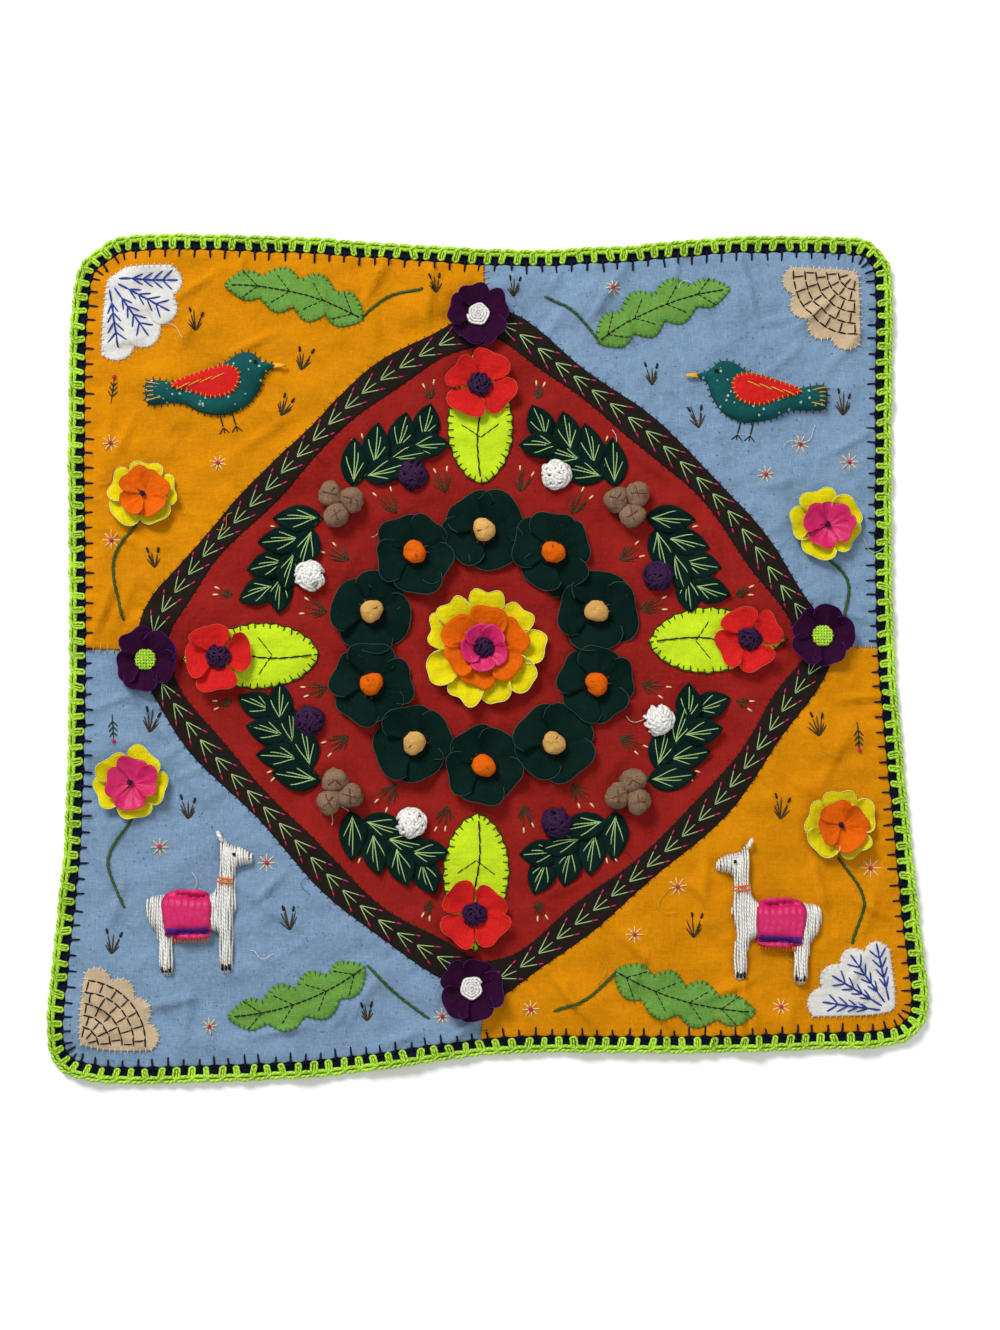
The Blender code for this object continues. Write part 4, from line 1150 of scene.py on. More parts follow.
def ball(name, x, y, z, radius, height, material, seed, gathers=7, wrinkle=1.0):
    """A stuffed ball of cloth, gathered underneath, a little uneven and crumpled."""
    draw = np.random.default_rng(seed)
    rings, sectors = 18, 30
    phase = draw.uniform(0, math.tau, 8)
    polar = np.pi * np.arange(1, rings) / rings
    around = math.tau * np.arange(sectors) / sectors
    p, a = np.meshgrid(polar, around, indexing="ij")
    low = np.clip((p - 1.0) / 1.9, 0, 1)
    swell = 1 + 0.06 * np.sin(2 * a + phase[0]) * np.sin(p) + 0.05 * np.sin(3 * a + phase[1] + 2 * p)
    swell += 0.07 * low * np.sin(gathers * a + phase[2])
    folds = 0.022 * np.sin(5 * a + 4 * p + phase[3]) * np.sin(7 * p + 2 * a + phase[4])
    folds -= 0.045 * np.exp(-(np.sin(0.5 * (a - phase[5]) + 0.6 * p) / 0.14) ** 2) * np.sin(p)
    folds -= 0.035 * np.exp(-(np.sin(0.5 * (a - phase[6]) - 0.5 * p) / 0.12) ** 2) * np.sin(p)
    folds += 0.016 * np.sin(9 * a + 3 * p + phase[6]) * np.sin(11 * p - 3 * a + phase[3])
    swell += wrinkle * folds
    px = x + radius * swell * np.sin(p) * np.cos(a)
    py = y + radius * swell * np.sin(p) * np.sin(a)
    pz = z + height / 2 * (1 + swell * np.cos(p))
    middle = np.column_stack([px.ravel(), py.ravel(), pz.ravel()])
    points = np.vstack([middle, [(x, y, z + height), (x, y, z)]])
    grid = np.arange((rings - 1) * sectors).reshape(rings - 1, sectors)
    upper, lower = grid[:-1], grid[1:]
    quads = np.stack([upper, lower, np.roll(lower, -1, 1), np.roll(upper, -1, 1)], axis=2)
    top, bottom = len(middle), len(middle) + 1
    caps = [(top, int(grid[0, k]), int(grid[0, (k + 1) % sectors])) for k in range(sectors)]
    caps += [(bottom, int(grid[-1, (k + 1) % sectors]), int(grid[-1, k])) for k in range(sectors)]
    made = add_mesh(name, points, quads.reshape(-1, 4).tolist() + caps, material)
    return made


def yarn_dome(x, y, z, radius, height, strand, arcs, seed):
    """A knot of thick yarn: short arcs in every direction over a low dome."""
    draw = np.random.default_rng(seed)
    parts = [coil(x, y, z, radius * 0.92, strand, 3, height * 0.55, seed)]
    for k in range(arcs):
        up = math.sqrt(0.12 + 0.88 * ((k + 0.5) / arcs))
        around = 2.4 * k + draw.uniform(-0.4, 0.4)
        flat = math.sqrt(max(0.0, 1 - up * up))
        out = np.array((flat * math.cos(around), flat * math.sin(around), up))
        side = np.cross(out, draw.normal(size=3))
        side /= np.linalg.norm(side)
        sweep = np.linspace(-1, 1, 9) * draw.uniform(0.42, 0.62)
        arc = out * np.cos(sweep)[:, None] + side * np.sin(sweep)[:, None]
        swell = 1 + 0.10 * np.cos(np.linspace(-1, 1, 9) * math.pi / 2)
        path = np.column_stack([
            x + (radius - strand) * swell * arc[:, 0],
            y + (radius - strand) * swell * arc[:, 1],
            z + strand + np.maximum(height * swell * arc[:, 2] - 0.5, 0.1),
        ])
        parts.append(tubes(path[None], strand * draw.uniform(0.85, 1.1), 6))
    return parts


def looped_yarn(x, y, z, radius, loops, strand, height, seed):
    """A tuft of yarn loops, in rings round a middle."""
    draw = np.random.default_rng(seed)
    parts = []
    for ring, share in ((0, 0.78), (1, 0.42), (2, 0.08)):
        count = max(3, int(loops * (1 - 0.33 * ring)))
        for k in range(count):
            angle = math.tau * (k + 0.5 * ring) / count + draw.uniform(-0.2, 0.2)
            reach = radius * share * draw.uniform(0.85, 1.15)
            px, py = x + reach * math.cos(angle), y + reach * math.sin(angle)
            size = radius * 0.30 * draw.uniform(0.8, 1.25)
            t = np.linspace(-0.15, 1.15, 10) * math.pi
            out = size * np.cos(t)
            up = z + height * (0.45 + 0.2 * ring) + size * 1.2 * np.sin(t)
            heading = angle + draw.uniform(-0.9, 0.9)
            path = np.column_stack([px + out * math.cos(heading), py + out * math.sin(heading), up])
            parts.append(tubes(path[None], strand, 5))
    return parts


def coil(x, y, z, radius, strand, turns, dome, seed):
    """Yarn wound flat from the outside to the middle."""
    draw = np.random.default_rng(seed)
    steps = int(turns * 22)
    t = np.linspace(0, 1, steps)
    angle = draw.uniform(0, math.tau) + t * turns * math.tau
    around = (radius - strand) * (1 - t) + 0.3 * strand
    wobble = 1 + 0.06 * np.sin(5 * angle + seed)
    path = np.column_stack([x + around * wobble * np.cos(angle), y + around * wobble * np.sin(angle),
                            z + strand + dome * (1 - (around / radius) ** 2) + 0.12 * np.sin(7 * angle)])
    return tubes(path[None], strand, 6)


def basket(x, y, z, radius, strand):
    """Yarn woven over and under in a small round."""
    parts = []
    rows = np.arange(-3, 4) * radius / 3.6
    t = np.linspace(-1, 1, 17)
    for number, row in enumerate(rows):
        half = math.sqrt(radius ** 2 - row ** 2)
        along = half * t
        weave = 0.6 * strand * np.cos(math.pi * (along * 3.6 / radius + number))
        level = z + strand + 0.9 * np.sqrt(np.clip(1 - (along ** 2 + row ** 2) / radius ** 2, 0, 1))
        one = np.column_stack([x + along, np.full(17, y + row), level + weave])
        two = np.column_stack([np.full(17, x + row), y + along, level - weave])
        parts += [tubes(one[None], strand, 6), tubes(two[None], strand, 6)]
    return parts


def build_centre(m):
    """The layered flower in the middle, and the wreath of rosettes with stuffed berries, each berry ringed with
    near-black yarn that is painted shadow.
    """
    cx, cy = DESIGN_CENTRE
    z = centre_of("centre_petals_outer")[2]
    rims = []
    outer = whorl("centre_outer", cx, cy, z, 9, 32, 5.0, m["yellow"], turn=4, seed=3,
                  overlap=1.15, curl=1.8, notch=0.05, square=4.0, thickness=0.36, over=surface, edges=rims)
    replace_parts(outer, "centre_petals_outer")
    z = centre_of("centre_petals_inner")[2]
    inner = whorl("centre_inner", cx, cy, z + 0.5, 6, 22, 5.5, m["orange"], turn=20, seed=4,
                  overlap=1.2, curl=1.6, notch=0.05, square=4.0, thickness=0.36)
    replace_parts(inner, "centre_petals_inner")
    yarn_piece("centre_edges", [tubes(np.array(rims), 0.2, 4)], m["lemon_yarn"])
    z = centre_of("centre_knot")[2]
    whorl("centre_heart", cx, cy, z, 5, 13, 4.5, m["magenta"], turn=50, seed=6)
    heart = yarn_dome(cx, cy, z + 1.0, 5.6, 3.0, 0.62, 22, 5)
    knot = yarn_piece("centre_yarn", heart, m["purple_yarn"])
    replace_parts(knot, "centre_knot")

    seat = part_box("wreath_cloth_green")[0].z / MM
    rosettes, edges, whiskers, painted_shadow_rings, dents = [], [], [], [], []
    for k in range(10):
        bx, by, bz = centre_of(f"berry_{k:02d}")
        rosettes.append(whorl(f"rosette_{k:02d}", bx, by, seat + 0.5 * (k % 2) + crease_rise(bx, by),
                              4 + k % 2, 21.5, 3.0, m["dark_green"], turn=17 * k,
                              overlap=1.34, curl=2.1, notch=0.05, square=4.5, seed=40 + k,
                              thickness=0.4, lap=1.3, over=surface, edges=edges))
        kind = "orange" if k % 2 else "cream"
        berry = ball(f"berry_ball_{k:02d}", bx, by, bz - 0.4, 5.8, 8.6, m[kind], 60 + k,
                     wrinkle=1.6)
        # Painted shadow: a closed ring of near-black yarn round each berry's foot stands for the dark hollow
        # where it sits in its rosette.
        around = math.tau * np.arange(36) / 36
        shadow_ring_radius = 6.1 + 0.25 * np.sin(5 * around + k)
        rim = seat + 0.5 * (k % 2) + crease_rise(bx, by) + 1.7
        painted_shadow_rings.append(np.column_stack([bx + shadow_ring_radius * np.cos(around), by + shadow_ring_radius * np.sin(around),
                                      rim + 0.3 * np.sin(3 * around + 2 * k)]))
        dents.append(dome_stitch(bx, by, bz - 0.4, 5.8, 8.6, 1.7 * k, 0.30, 0.62))
        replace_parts(berry, f"berry_{k:02d}")
        for turn in (2.1 * k, 2.1 * k + 0.5):
            ray = np.array((math.cos(turn), math.sin(turn)))
            whiskers.append((bx + 4.6 * ray[0], by + 4.6 * ray[1], bx + 7.4 * ray[0], by + 7.4 * ray[1]))
    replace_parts(rosettes[0], "wreath_cloth_green")
    yarn_piece("rosette_edges", [tubes(np.array(edges), 0.21, 4)], m["moss_yarn"])
    # The rings of painted shadow round the berries.
    yarn_piece("berry_painted_shadow_rings", [tubes(np.array(painted_shadow_rings), 0.85, 6, closed=True)], m["painted_shadow_yarn"])
    yarn_piece("berry_dents", dents, m["rust_yarn"])
    yarn_piece("berry_whiskers", [stitch_tubes(whiskers, 0.24, over=surface, lift=3.1)], m["rust_yarn"])


LEAF_PADDING = 1.5


def leaf_outline(length, half_width, steps):
    share = np.arange(1, steps) / steps
    width = half_width * np.sin(np.pi * share ** 0.8) ** 0.75
    lower = np.column_stack([length * share, -width])
    upper = np.column_stack([length * share, width])[::-1]
    return np.vstack([[(0, 0)], lower, [(length, 0)], upper])


def over_leaf(x, y):
    return surface(x, y) + LEAF_TOP + LEAF_PADDING


def build_long_leaves(m):
    """Bright padded leaves with blanket-stitched edges and stitched midribs."""
    ticks, ribs = [], []
    for k, (name, turn) in enumerate(LONG_LEAVES):
        angle = math.radians(turn)
        x, y = DESIGN_CENTRE + LONG_LEAF_START * np.array((math.cos(angle), math.sin(angle)))
        outline = resampled(leaf_outline(LONG_LEAF_LENGTH, LONG_LEAF_HALF_WIDTH, 24), 110)
        wobble = 0.5 * np.sin(math.tau * np.arange(110) / 110 * 26 + k)
        outline = outline + inward_normals(outline) * wobble[:, None]
        loop = placed(outline, x, y, turn)
        leaf = cloth(f"long_leaf_cloth_{name}", loop, 0.1, LEAF_TOP, m["neon"], pitch=1.7,
                     under=surface, puff=0.9, pucker=Pucker(5.4, 0.95, 5.0), seed=k)
        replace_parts(leaf, f"long_leaf_{name}")
        over = lambda px, py: surface(px, py) + LEAF_TOP + 0.45
        low = lambda px, py: surface(px, py) + LEAF_TOP + 0.1
        ticks.append(stitch_tubes(edge_ticks(loop, 4.0, 0.7, 2.7, 90 + k, 0.3), 0.3, over=low))
        outline = np.vstack([loop, loop[:1]]) - np.vstack([inward_normals(loop), [(0, 0)]]) * 0.25
        ticks.append(stitch_tubes(line_stitches(outline, 4.2, -0.03, 0.03), 0.26, over=surface, lift=0.5))
        rib = placed(smooth_open([(4, 0.6), (24, 1.6), (46, -1.4), (65, 0.4)], 40), x, y, turn)
        ribs.append(stitch_tubes(line_stitches(rib, 5.6, -0.03, 0.03), 0.42, over=over, lift=0.5))
        for share, reach in ((0.34, 11), (0.55, 12)):
            for side in (-1, 1):
                start = (LONG_LEAF_LENGTH * share, 0)
                end = (start[0] + reach * 0.62, side * reach * 0.86)
                vein = placed(smooth_open([start, end], 8), x, y, turn)
                ribs.append(stitch_tubes(line_stitches(vein, 4.6, -0.02, 0.03), 0.26, over=over, lift=0.45))
    yarn_piece("long_leaf_edges", ticks, m["green_yarn"])
    yarn_piece("long_leaf_ribs", ribs, m["brown_yarn"])


def midrib(frond, share):
    """Places on a frond's bent midrib, and the directions across it."""
    heading = np.radians(frond.heading + frond.bend * (2 * share - 1))
    chord = np.radians(frond.heading + frond.bend * (share - 1))
    reach = frond.length * share
    place = np.column_stack([frond.x + reach * np.cos(chord), frond.y + reach * np.sin(chord)])
    return place, np.column_stack([-np.sin(heading), np.cos(heading)])


def build_fronds(m):
    """Lobed mid-green leaves with buttonhole edges and dark stitched veins."""
    ticks, ribs = [], []
    for k, frond in enumerate(FRONDS):
        share = np.arange(1, 48) / 48
        lobe = 0.58 + 0.42 * np.abs(np.sin(np.pi * FROND_LOBES * share))
        width = (FROND_HALF_WIDTH * np.sin(np.pi * share ** 0.85) ** 0.5 * lobe)[:, None]
        place, side = midrib(frond, share)
        ends, _ = midrib(frond, np.array([0.0, 1.0]))
        raw = np.vstack([ends[:1], place - side * width, ends[1:], (place + side * width)[::-1]])
        loop = resampled(raw, 130)
        leaf = cloth(f"frond_cloth_{frond.name}", loop, 0.1, LEAF_TOP, m["leaf_green"],
                     pitch=1.7, under=surface, puff=0.6, pucker=Pucker(3.6, 0.35, 2.6), seed=30 + k)
        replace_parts(leaf, f"frond_{frond.name}")
        over = lambda px, py: surface(px, py) + LEAF_TOP + 0.1
        ticks.append(stitch_tubes(edge_ticks(loop, 2.9, 0.5, 1.9, 70 + k, 0.3), 0.26, over=over))
        line, _ = midrib(frond, np.linspace(0.03, 0.95, 30))
        ribs.append(stitch_tubes(line_stitches(line, 3.2, 0.06), 0.36, over=over, lift=0.5))
        for vein in (0.16, 0.38, 0.62, 0.84):
            start, out = midrib(frond, np.array([vein - 0.07]))
            ahead, _ = midrib(frond, np.array([min(1.0, vein + 0.04)]))
            for way in (-1, 1):
                end = ahead[0] + out[0] * way * 7.5
                branch = resampled([start[0], end], 6, closed=False)
                ribs.append(stitch_tubes(line_stitches(branch, 2.8, 0.1), 0.26, over=over, lift=0.4))
    yarn_piece("frond_edges", ticks, m["leaf_yarn"])
    yarn_piece("frond_ribs", ribs, m["brown_yarn"])


def leaf_path(spots, end_row, end_column):
    """A line over a leaf's grid of points, from its foot to a given row and column."""
    t = np.linspace(0, 1, 7)
    row, column = 1 + (end_row - 1) * t, 3 + (end_column - 3) * t
    r, c = row.astype(int), np.minimum(column.astype(int), spots.shape[1] - 2)
    up, across = (row - r)[:, None], (column - c)[:, None]
    near = spots[r, c] * (1 - across) + spots[r, c + 1] * across
    far = spots[r + 1, c] * (1 - across) + spots[r + 1, c + 1] * across
    return near * (1 - up) + far * up


def small_leaf(x, y, heading, length, half_width, lift, seed):
    """A free pointed leaf: points, faces, and the places of its vein stitches."""
    draw = np.random.default_rng(seed)
    rows, columns = 11, 7
    s = np.linspace(0, 1, rows)[:, None]
    t = np.linspace(-1, 1, columns)[None]
    width = half_width * np.sin(np.pi * np.clip(s, 0.0, 1.0) ** 0.85) ** 0.8
    width = np.maximum(width, 0.12)
    bend = draw.uniform(-2.0, 2.0)
    px = length * s + 0 * t
    py = width * t + bend * s ** 2
    tilt = draw.uniform(-0.6, 0.6)
    pz = lift * s ** 1.5 + 0.9 * np.abs(t) ** 1.5 * np.sin(np.pi * s) + tilt * t * s
    pz = pz + 0.3 * np.sin(7 * s + seed) * t
    c, si = math.cos(math.radians(heading)), math.sin(math.radians(heading))
    gx, gy = x + c * px - si * py, y + si * px + c * py
    base = surface(np.array([x]), np.array([y]))[0]
    gz = np.maximum(base + 0.7 + pz, surface(gx, gy) + 0.75)
    points = np.column_stack([gx.ravel(), gy.ravel(), gz.ravel()])
    grid = np.arange(rows * columns).reshape(rows, columns)
    quads = np.stack([grid[:-1, :-1], grid[1:, :-1], grid[1:, 1:], grid[:-1, 1:]], axis=2)
    spots = np.stack([gx, gy, gz], axis=2)
    veins = [leaf_path(spots, *end) for end in ((9, 3), (6, 5), (7, 2), (5, 1))]
    return points, quads.reshape(-1, 4).tolist(), veins


def raised_stitches(paths, radius, lift):
    """Stitches over lines of points in space."""
    path = np.array(paths, float)
    arch = np.sin(np.pi * np.linspace(0, 1, path.shape[1])) ** 0.5
    path[..., 2] += lift + radius * (1.6 * arch - 0.8)
    return tubes(path, radius * (0.8 + 0.25 * arch), 5)


def dome_stitch(x, y, z, radius, height, turn, first=-0.52, last=0.62):
    """One stitch drawn tight over the top of a ball."""
    offset = np.linspace(first, last, 9) * radius
    level = z + height / 2 * (1 + np.sqrt(1 - (offset / radius) ** 2)) - 0.04
    path = np.column_stack([x + offset * math.cos(turn), y + offset * math.sin(turn), level])
    return tubes(path[None], 0.30, 5)


def build_garlands(m):
    """Sprays of dark green leaves on the diagonals of the diamond, with stuffed nuts between."""
    veins = []
    number = 0
    stems, dents = [], []
    for k, name in enumerate(("ne", "nw", "sw", "se")):
        angle = math.radians(45 + 90 * k)
        out = np.array((math.cos(angle), math.sin(angle)))
        along = np.array((-out[1], out[0]))
        middle = DESIGN_CENTRE + out * 106
        for side in (-1, 1):
            ends = [middle + along * side * 6, middle + along * side * 30 - out * 1.5,
                    middle + along * side * 56 - out * 9]
            line = smooth_open(ends, 30)
            stems.append(stitch_tubes(line_stitches(line, 4.0, -0.15, 0.07), 0.5))
            for step in range(7):
                at = line[min(29, 3 + step * 4)]
                heading = math.degrees(math.atan2(*(along * side)[::-1]))
                fan = (34 if step % 2 else -34) * side + (step - 3) * 2.5 * side
                number += 1
                length = 25 - 0.9 * step
                points, faces, found = small_leaf(at[0], at[1], heading + fan, length, 7.0, 1.6,
                                                  number)
                leaf = add_mesh(f"garland_leaf_{number:02d}", points, faces, m["dark_green"])
                thickened(leaf, 0.6)
                veins += found
        cluster = None
        x, y, z = centre_of(f"nuts_{name}")
        for nut in range(3):
            around = angle + math.tau * nut / 3
            nx, ny = DESIGN_CENTRE + out * 104 + 6.3 * np.array((math.cos(around), math.sin(around)))
            made = ball(f"nut_ball_{name}_{nut}", nx, ny, z, 6.5, 11.2, m["tan"], 100 + 5 * k + nut,
                        gathers=9, wrinkle=2.5)
            for turn in (0.9 * nut + k, 0.9 * nut + k + 1.9):
                dents.append(dome_stitch(nx, ny, z, 6.5, 11.2, turn))
            if cluster is None:
                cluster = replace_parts(made, f"nuts_{name}")
    yarn_piece("garland_veins", [raised_stitches(veins, 0.27, 0.10)], m["pale_yarn"])
    yarn_piece("garland_stems", stems, m["green_yarn"])
    yarn_piece("nut_dents", dents, m["bark_yarn"])


def build_flowers(m):
    """Poppies, dark tip flowers and layered corner flowers."""
    poppy_hearts, white_hearts, lime_hearts, corner_hearts = [], [], [], []
    poppy_edges, plum_edges, yellow_edges, bright_edges = [], [], [], []
    for k, (name, turn) in enumerate(LONG_LEAVES):
        out = np.array((math.cos(math.radians(turn)), math.sin(math.radians(turn))))
        x, y = DESIGN_CENTRE + out * 135
        z = centre_of(f"poppy_petals_{name}")[2]
        poppy = whorl(f"poppy_{name}", x, y, z + 0.2, 4, 18.4, 4.6, m["scarlet"],
                      turn=38 * k + 22, overlap=1.02, curl=1.9, notch=0.07, square=7.0, seed=80 + k,
                      thickness=0.36, lap=0.9, over=over_leaf, edges=poppy_edges)
        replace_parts(poppy, f"poppy_petals_{name}", f"poppy_knot_{name}")
        poppy_hearts += yarn_dome(x, y, z + 1.4, 6.6, 3.2, 0.66, 26, 90 + k)
        x, y = DESIGN_CENTRE + out * 172
        z = centre_of(f"tip_flower_{name}")[2]
        tip = whorl(f"tip_flower_cloth_{name}", x, y, z + 0.2, 5, 16.8, 4.8, m["plum"],
                    turn=25 * k, overlap=1.24, curl=2.0, notch=0.06, square=3.6, seed=110 + k, lap=0.9,
                    over=surface, edges=plum_edges)
        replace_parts(tip, f"tip_flower_{name}")
        if name in "ns":
            white_hearts.append(coil(x, y, z + 1.5, 6.2, 0.72, 4, 1.3, k))
        else:
            lime_hearts += basket(x, y, z + 1.3, 5.2, 0.62)
    for k, (name, inner_cloth) in enumerate((("nw", "orange"), ("ne", "magenta"), ("sw", "magenta"),
                                             ("se", "orange"))):
        x, y, z = centre_of(f"corner_flower_outer_{name}")
        outer = whorl(f"corner_outer_{name}", x, y, z + 0.1, 5, 18.8, 3.4, m["yellow"],
                      turn=25 * k + 10, overlap=1.12, curl=2.0, notch=0.06, square=4.6, seed=130 + k,
                      thickness=0.34, over=surface, edges=yellow_edges)
        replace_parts(outer, f"corner_flower_outer_{name}")
        z = centre_of(f"corner_flower_inner_{name}")[2]
        inner = whorl(f"corner_inner_{name}", x + 0.8, y - 0.6, z + 0.7, 4, 13.8, 4.2, m[inner_cloth],
                      turn=25 * k + 40, overlap=1.14, curl=1.6, notch=0.06, square=4.6,
                      seed=140 + k, thickness=0.34, edges=bright_edges)
        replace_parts(inner, f"corner_flower_inner_{name}")
        level = flat_level(z + 2.2)
        corner_hearts += knot_balls([(x, y)], 1.6, over=level, seed=k)
        ray = 3.6 * np.array((math.cos(k + 2.4), math.sin(k + 2.4)))
        corner_hearts.append(stitch_tubes([(x, y, x + ray[0], y + ray[1])], 0.26, over=level, lift=0.3))
    yarn_piece("poppy_hearts", poppy_hearts, m["purple_yarn"])
    yarn_piece("tip_flower_hearts", white_hearts, m["white_yarn"])
    yarn_piece("tip_flower_baskets", lime_hearts, m["lime_yarn"])
    yarn_piece("tip_flower_edges", [tubes(np.array(plum_edges), 0.15, 4)], m["violet_yarn"])
    yarn_piece("corner_flower_hearts", corner_hearts, m["purple_yarn"])
    yarn_piece("poppy_edges", [tubes(np.array(poppy_edges), 0.17, 4)], m["coral_yarn"])
    yarn_piece("corner_flower_edges", [tubes(np.array(yellow_edges), 0.2, 4)], m["lemon_yarn"])
    yarn_piece("corner_inner_edges", [tubes(np.array(bright_edges), 0.15, 4)], m["coral_yarn"])


def scan_strands(loop, base, height, rounding, pitch, radius, seed, upright=True):
    """Yarn laid side by side across a padded shape, from edge to edge."""
    draw = np.random.default_rng(seed)
    axis, other = (0, 1) if upright else (1, 0)
    parts = []
    at = loop[:, axis].min() + pitch * 0.6
    following = np.roll(loop, -1, 0)
    while at < loop[:, axis].max() - pitch * 0.4:
        crosses = (loop[:, axis] > at) != (following[:, axis] > at)
        a, b = loop[crosses], following[crosses]
        where = a[:, other] + (at - a[:, axis]) * (b[:, other] - a[:, other]) / (b[:, axis] - a[:, axis])
        where = np.sort(where)
        for low, high in zip(where[::2], where[1::2]):
            if high - low < 2.5:
                continue
            t = np.linspace(low + 0.2, high - 0.2, 12)
            line = np.empty((12, 2))
            line[:, other] = t
            line[:, axis] = at + 0.25 * np.sin(t * 0.35 + draw.uniform(0, math.tau))
            distance, _ = edge_distance(line, loop)
            z = base + dome_height(distance, height, rounding) + radius * draw.uniform(0.35, 0.75)
            z[[0, -1]] = base + 0.9
            parts.append(tubes(np.column_stack([line, z])[None], radius * draw.uniform(0.85, 1.15), 5))
        at += pitch * draw.uniform(0.85, 1.15)
    return parts


def flat_level(level):
    return lambda px, py: np.full(np.shape(px), level)


def build_llamas(m):
    """Padded llamas covered in laid white yarn, with satin saddle cloths."""
    fleece, trim, dark, stripe = [], [], [], []
    for k, animal in enumerate(LLAMAS):
        low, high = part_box(f"llama_{animal.name}")
        base, top = low.z / MM, high.z / MM
        height = top - base
        at = (animal.x, animal.y, animal.tilt, animal.facing)
        loop = placed(smooth_closed(LLAMA, 170), *at)
        body = stuffed(f"llama_body_{animal.name}", loop, base, height - 0.9, 5.5, m["white"],
                       seed=k)
        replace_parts(body, f"llama_{animal.name}")
        fleece += scan_strands(loop, base, height - 0.9, 5.5, 1.25, 0.62, 50 + k)
        saddle_loop = placed(smooth_closed(SADDLE_CLOTH, 70), *at)
        drape = lambda px, py, b=base, h=height, lp=loop: b + dome_height(
            edge_distance(np.column_stack([np.ravel(px), np.ravel(py)]), lp)[0], h - 0.4, 5.5
        ).reshape(np.shape(px))
        pleated = lambda px, py, a=animal, d=drape: d(px, py) + 0.85 * np.abs(np.sin(
            0.92 * (px - a.x) * a.facing + 0.3 * np.sin(0.5 * (py - a.y)) + 0.06 * (py - a.y))) ** 0.8
        saddle = cloth(f"saddle_{animal.name}", saddle_loop, 0.1, 1.0, m["magenta"], pitch=0.9,
                       under=pleated, puff=0.5, pucker=Pucker(4.0, 0.4, 3.0), seed=k)
        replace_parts(saddle, f"saddle_cloth_{animal.name}")
        for x in np.arange(-15.6, 5.2, 0.62):
            band = placed([(x, -4.2), (x + 0.1, -7.6)], *at)
            stripe.append(stitch_tubes(band.reshape(1, 4), 0.42, over=pleated, lift=1.35))
        for x in np.arange(-13.5, 4.6, 1.5):
            line = placed([(x, -8.7), (x + 0.2, -11.8)], *at)
            if animal.facing < 0:
                line = line[::-1]
            trim.append(stitch_tubes(line.reshape(1, 4), 0.42, over=flat_level(base + 3.2)))
        collar = placed([(10.2, 18.5), (18.6, 17.2)], *at).reshape(1, 4)
        trim.append(stitch_tubes(collar, 0.6, over=flat_level(top - 0.1), steps=9))
        collar = placed([(10.4, 20.5), (18.8, 19.0)], *at).reshape(1, 4)
        trim.append(stitch_tubes(collar, 0.5, over=flat_level(top - 0.1), steps=9))
        eye = placed([(19.2, 31.8)], *at)
        dark += knot_balls(eye, 1.0, over=flat_level(top - 0.3), seed=k)
        mouth = placed([(24.6, 28.8), (27.4, 29.3)], *at).reshape(1, 4)
        dark.append(stitch_tubes(mouth, 0.25, over=flat_level(top - 2.0)))
        for x in (-18.5, -16.7, -14.9, 11.6, 13.4, 15.2):
            hoof = placed([(x, -26.3), (x, -23.4)], *at).reshape(1, 4)
            dark.append(stitch_tubes(hoof, 0.65, over=flat_level(base + 4.0)))
        ear = placed([(13.2, 38.5), (10.8, 43.5)], *at).reshape(1, 4)
        fleece.append(stitch_tubes(ear, 1.1, over=flat_level(base + 3.0), sides=7))
    yarn_piece("llama_fleece", fleece, m["white_yarn"])
    yarn_piece("llama_trim", trim, m["orange_yarn"])
    yarn_piece("saddle_bands", stripe, m["violet_yarn"])
    yarn_piece("llama_marks", dark, m["brown_yarn"])


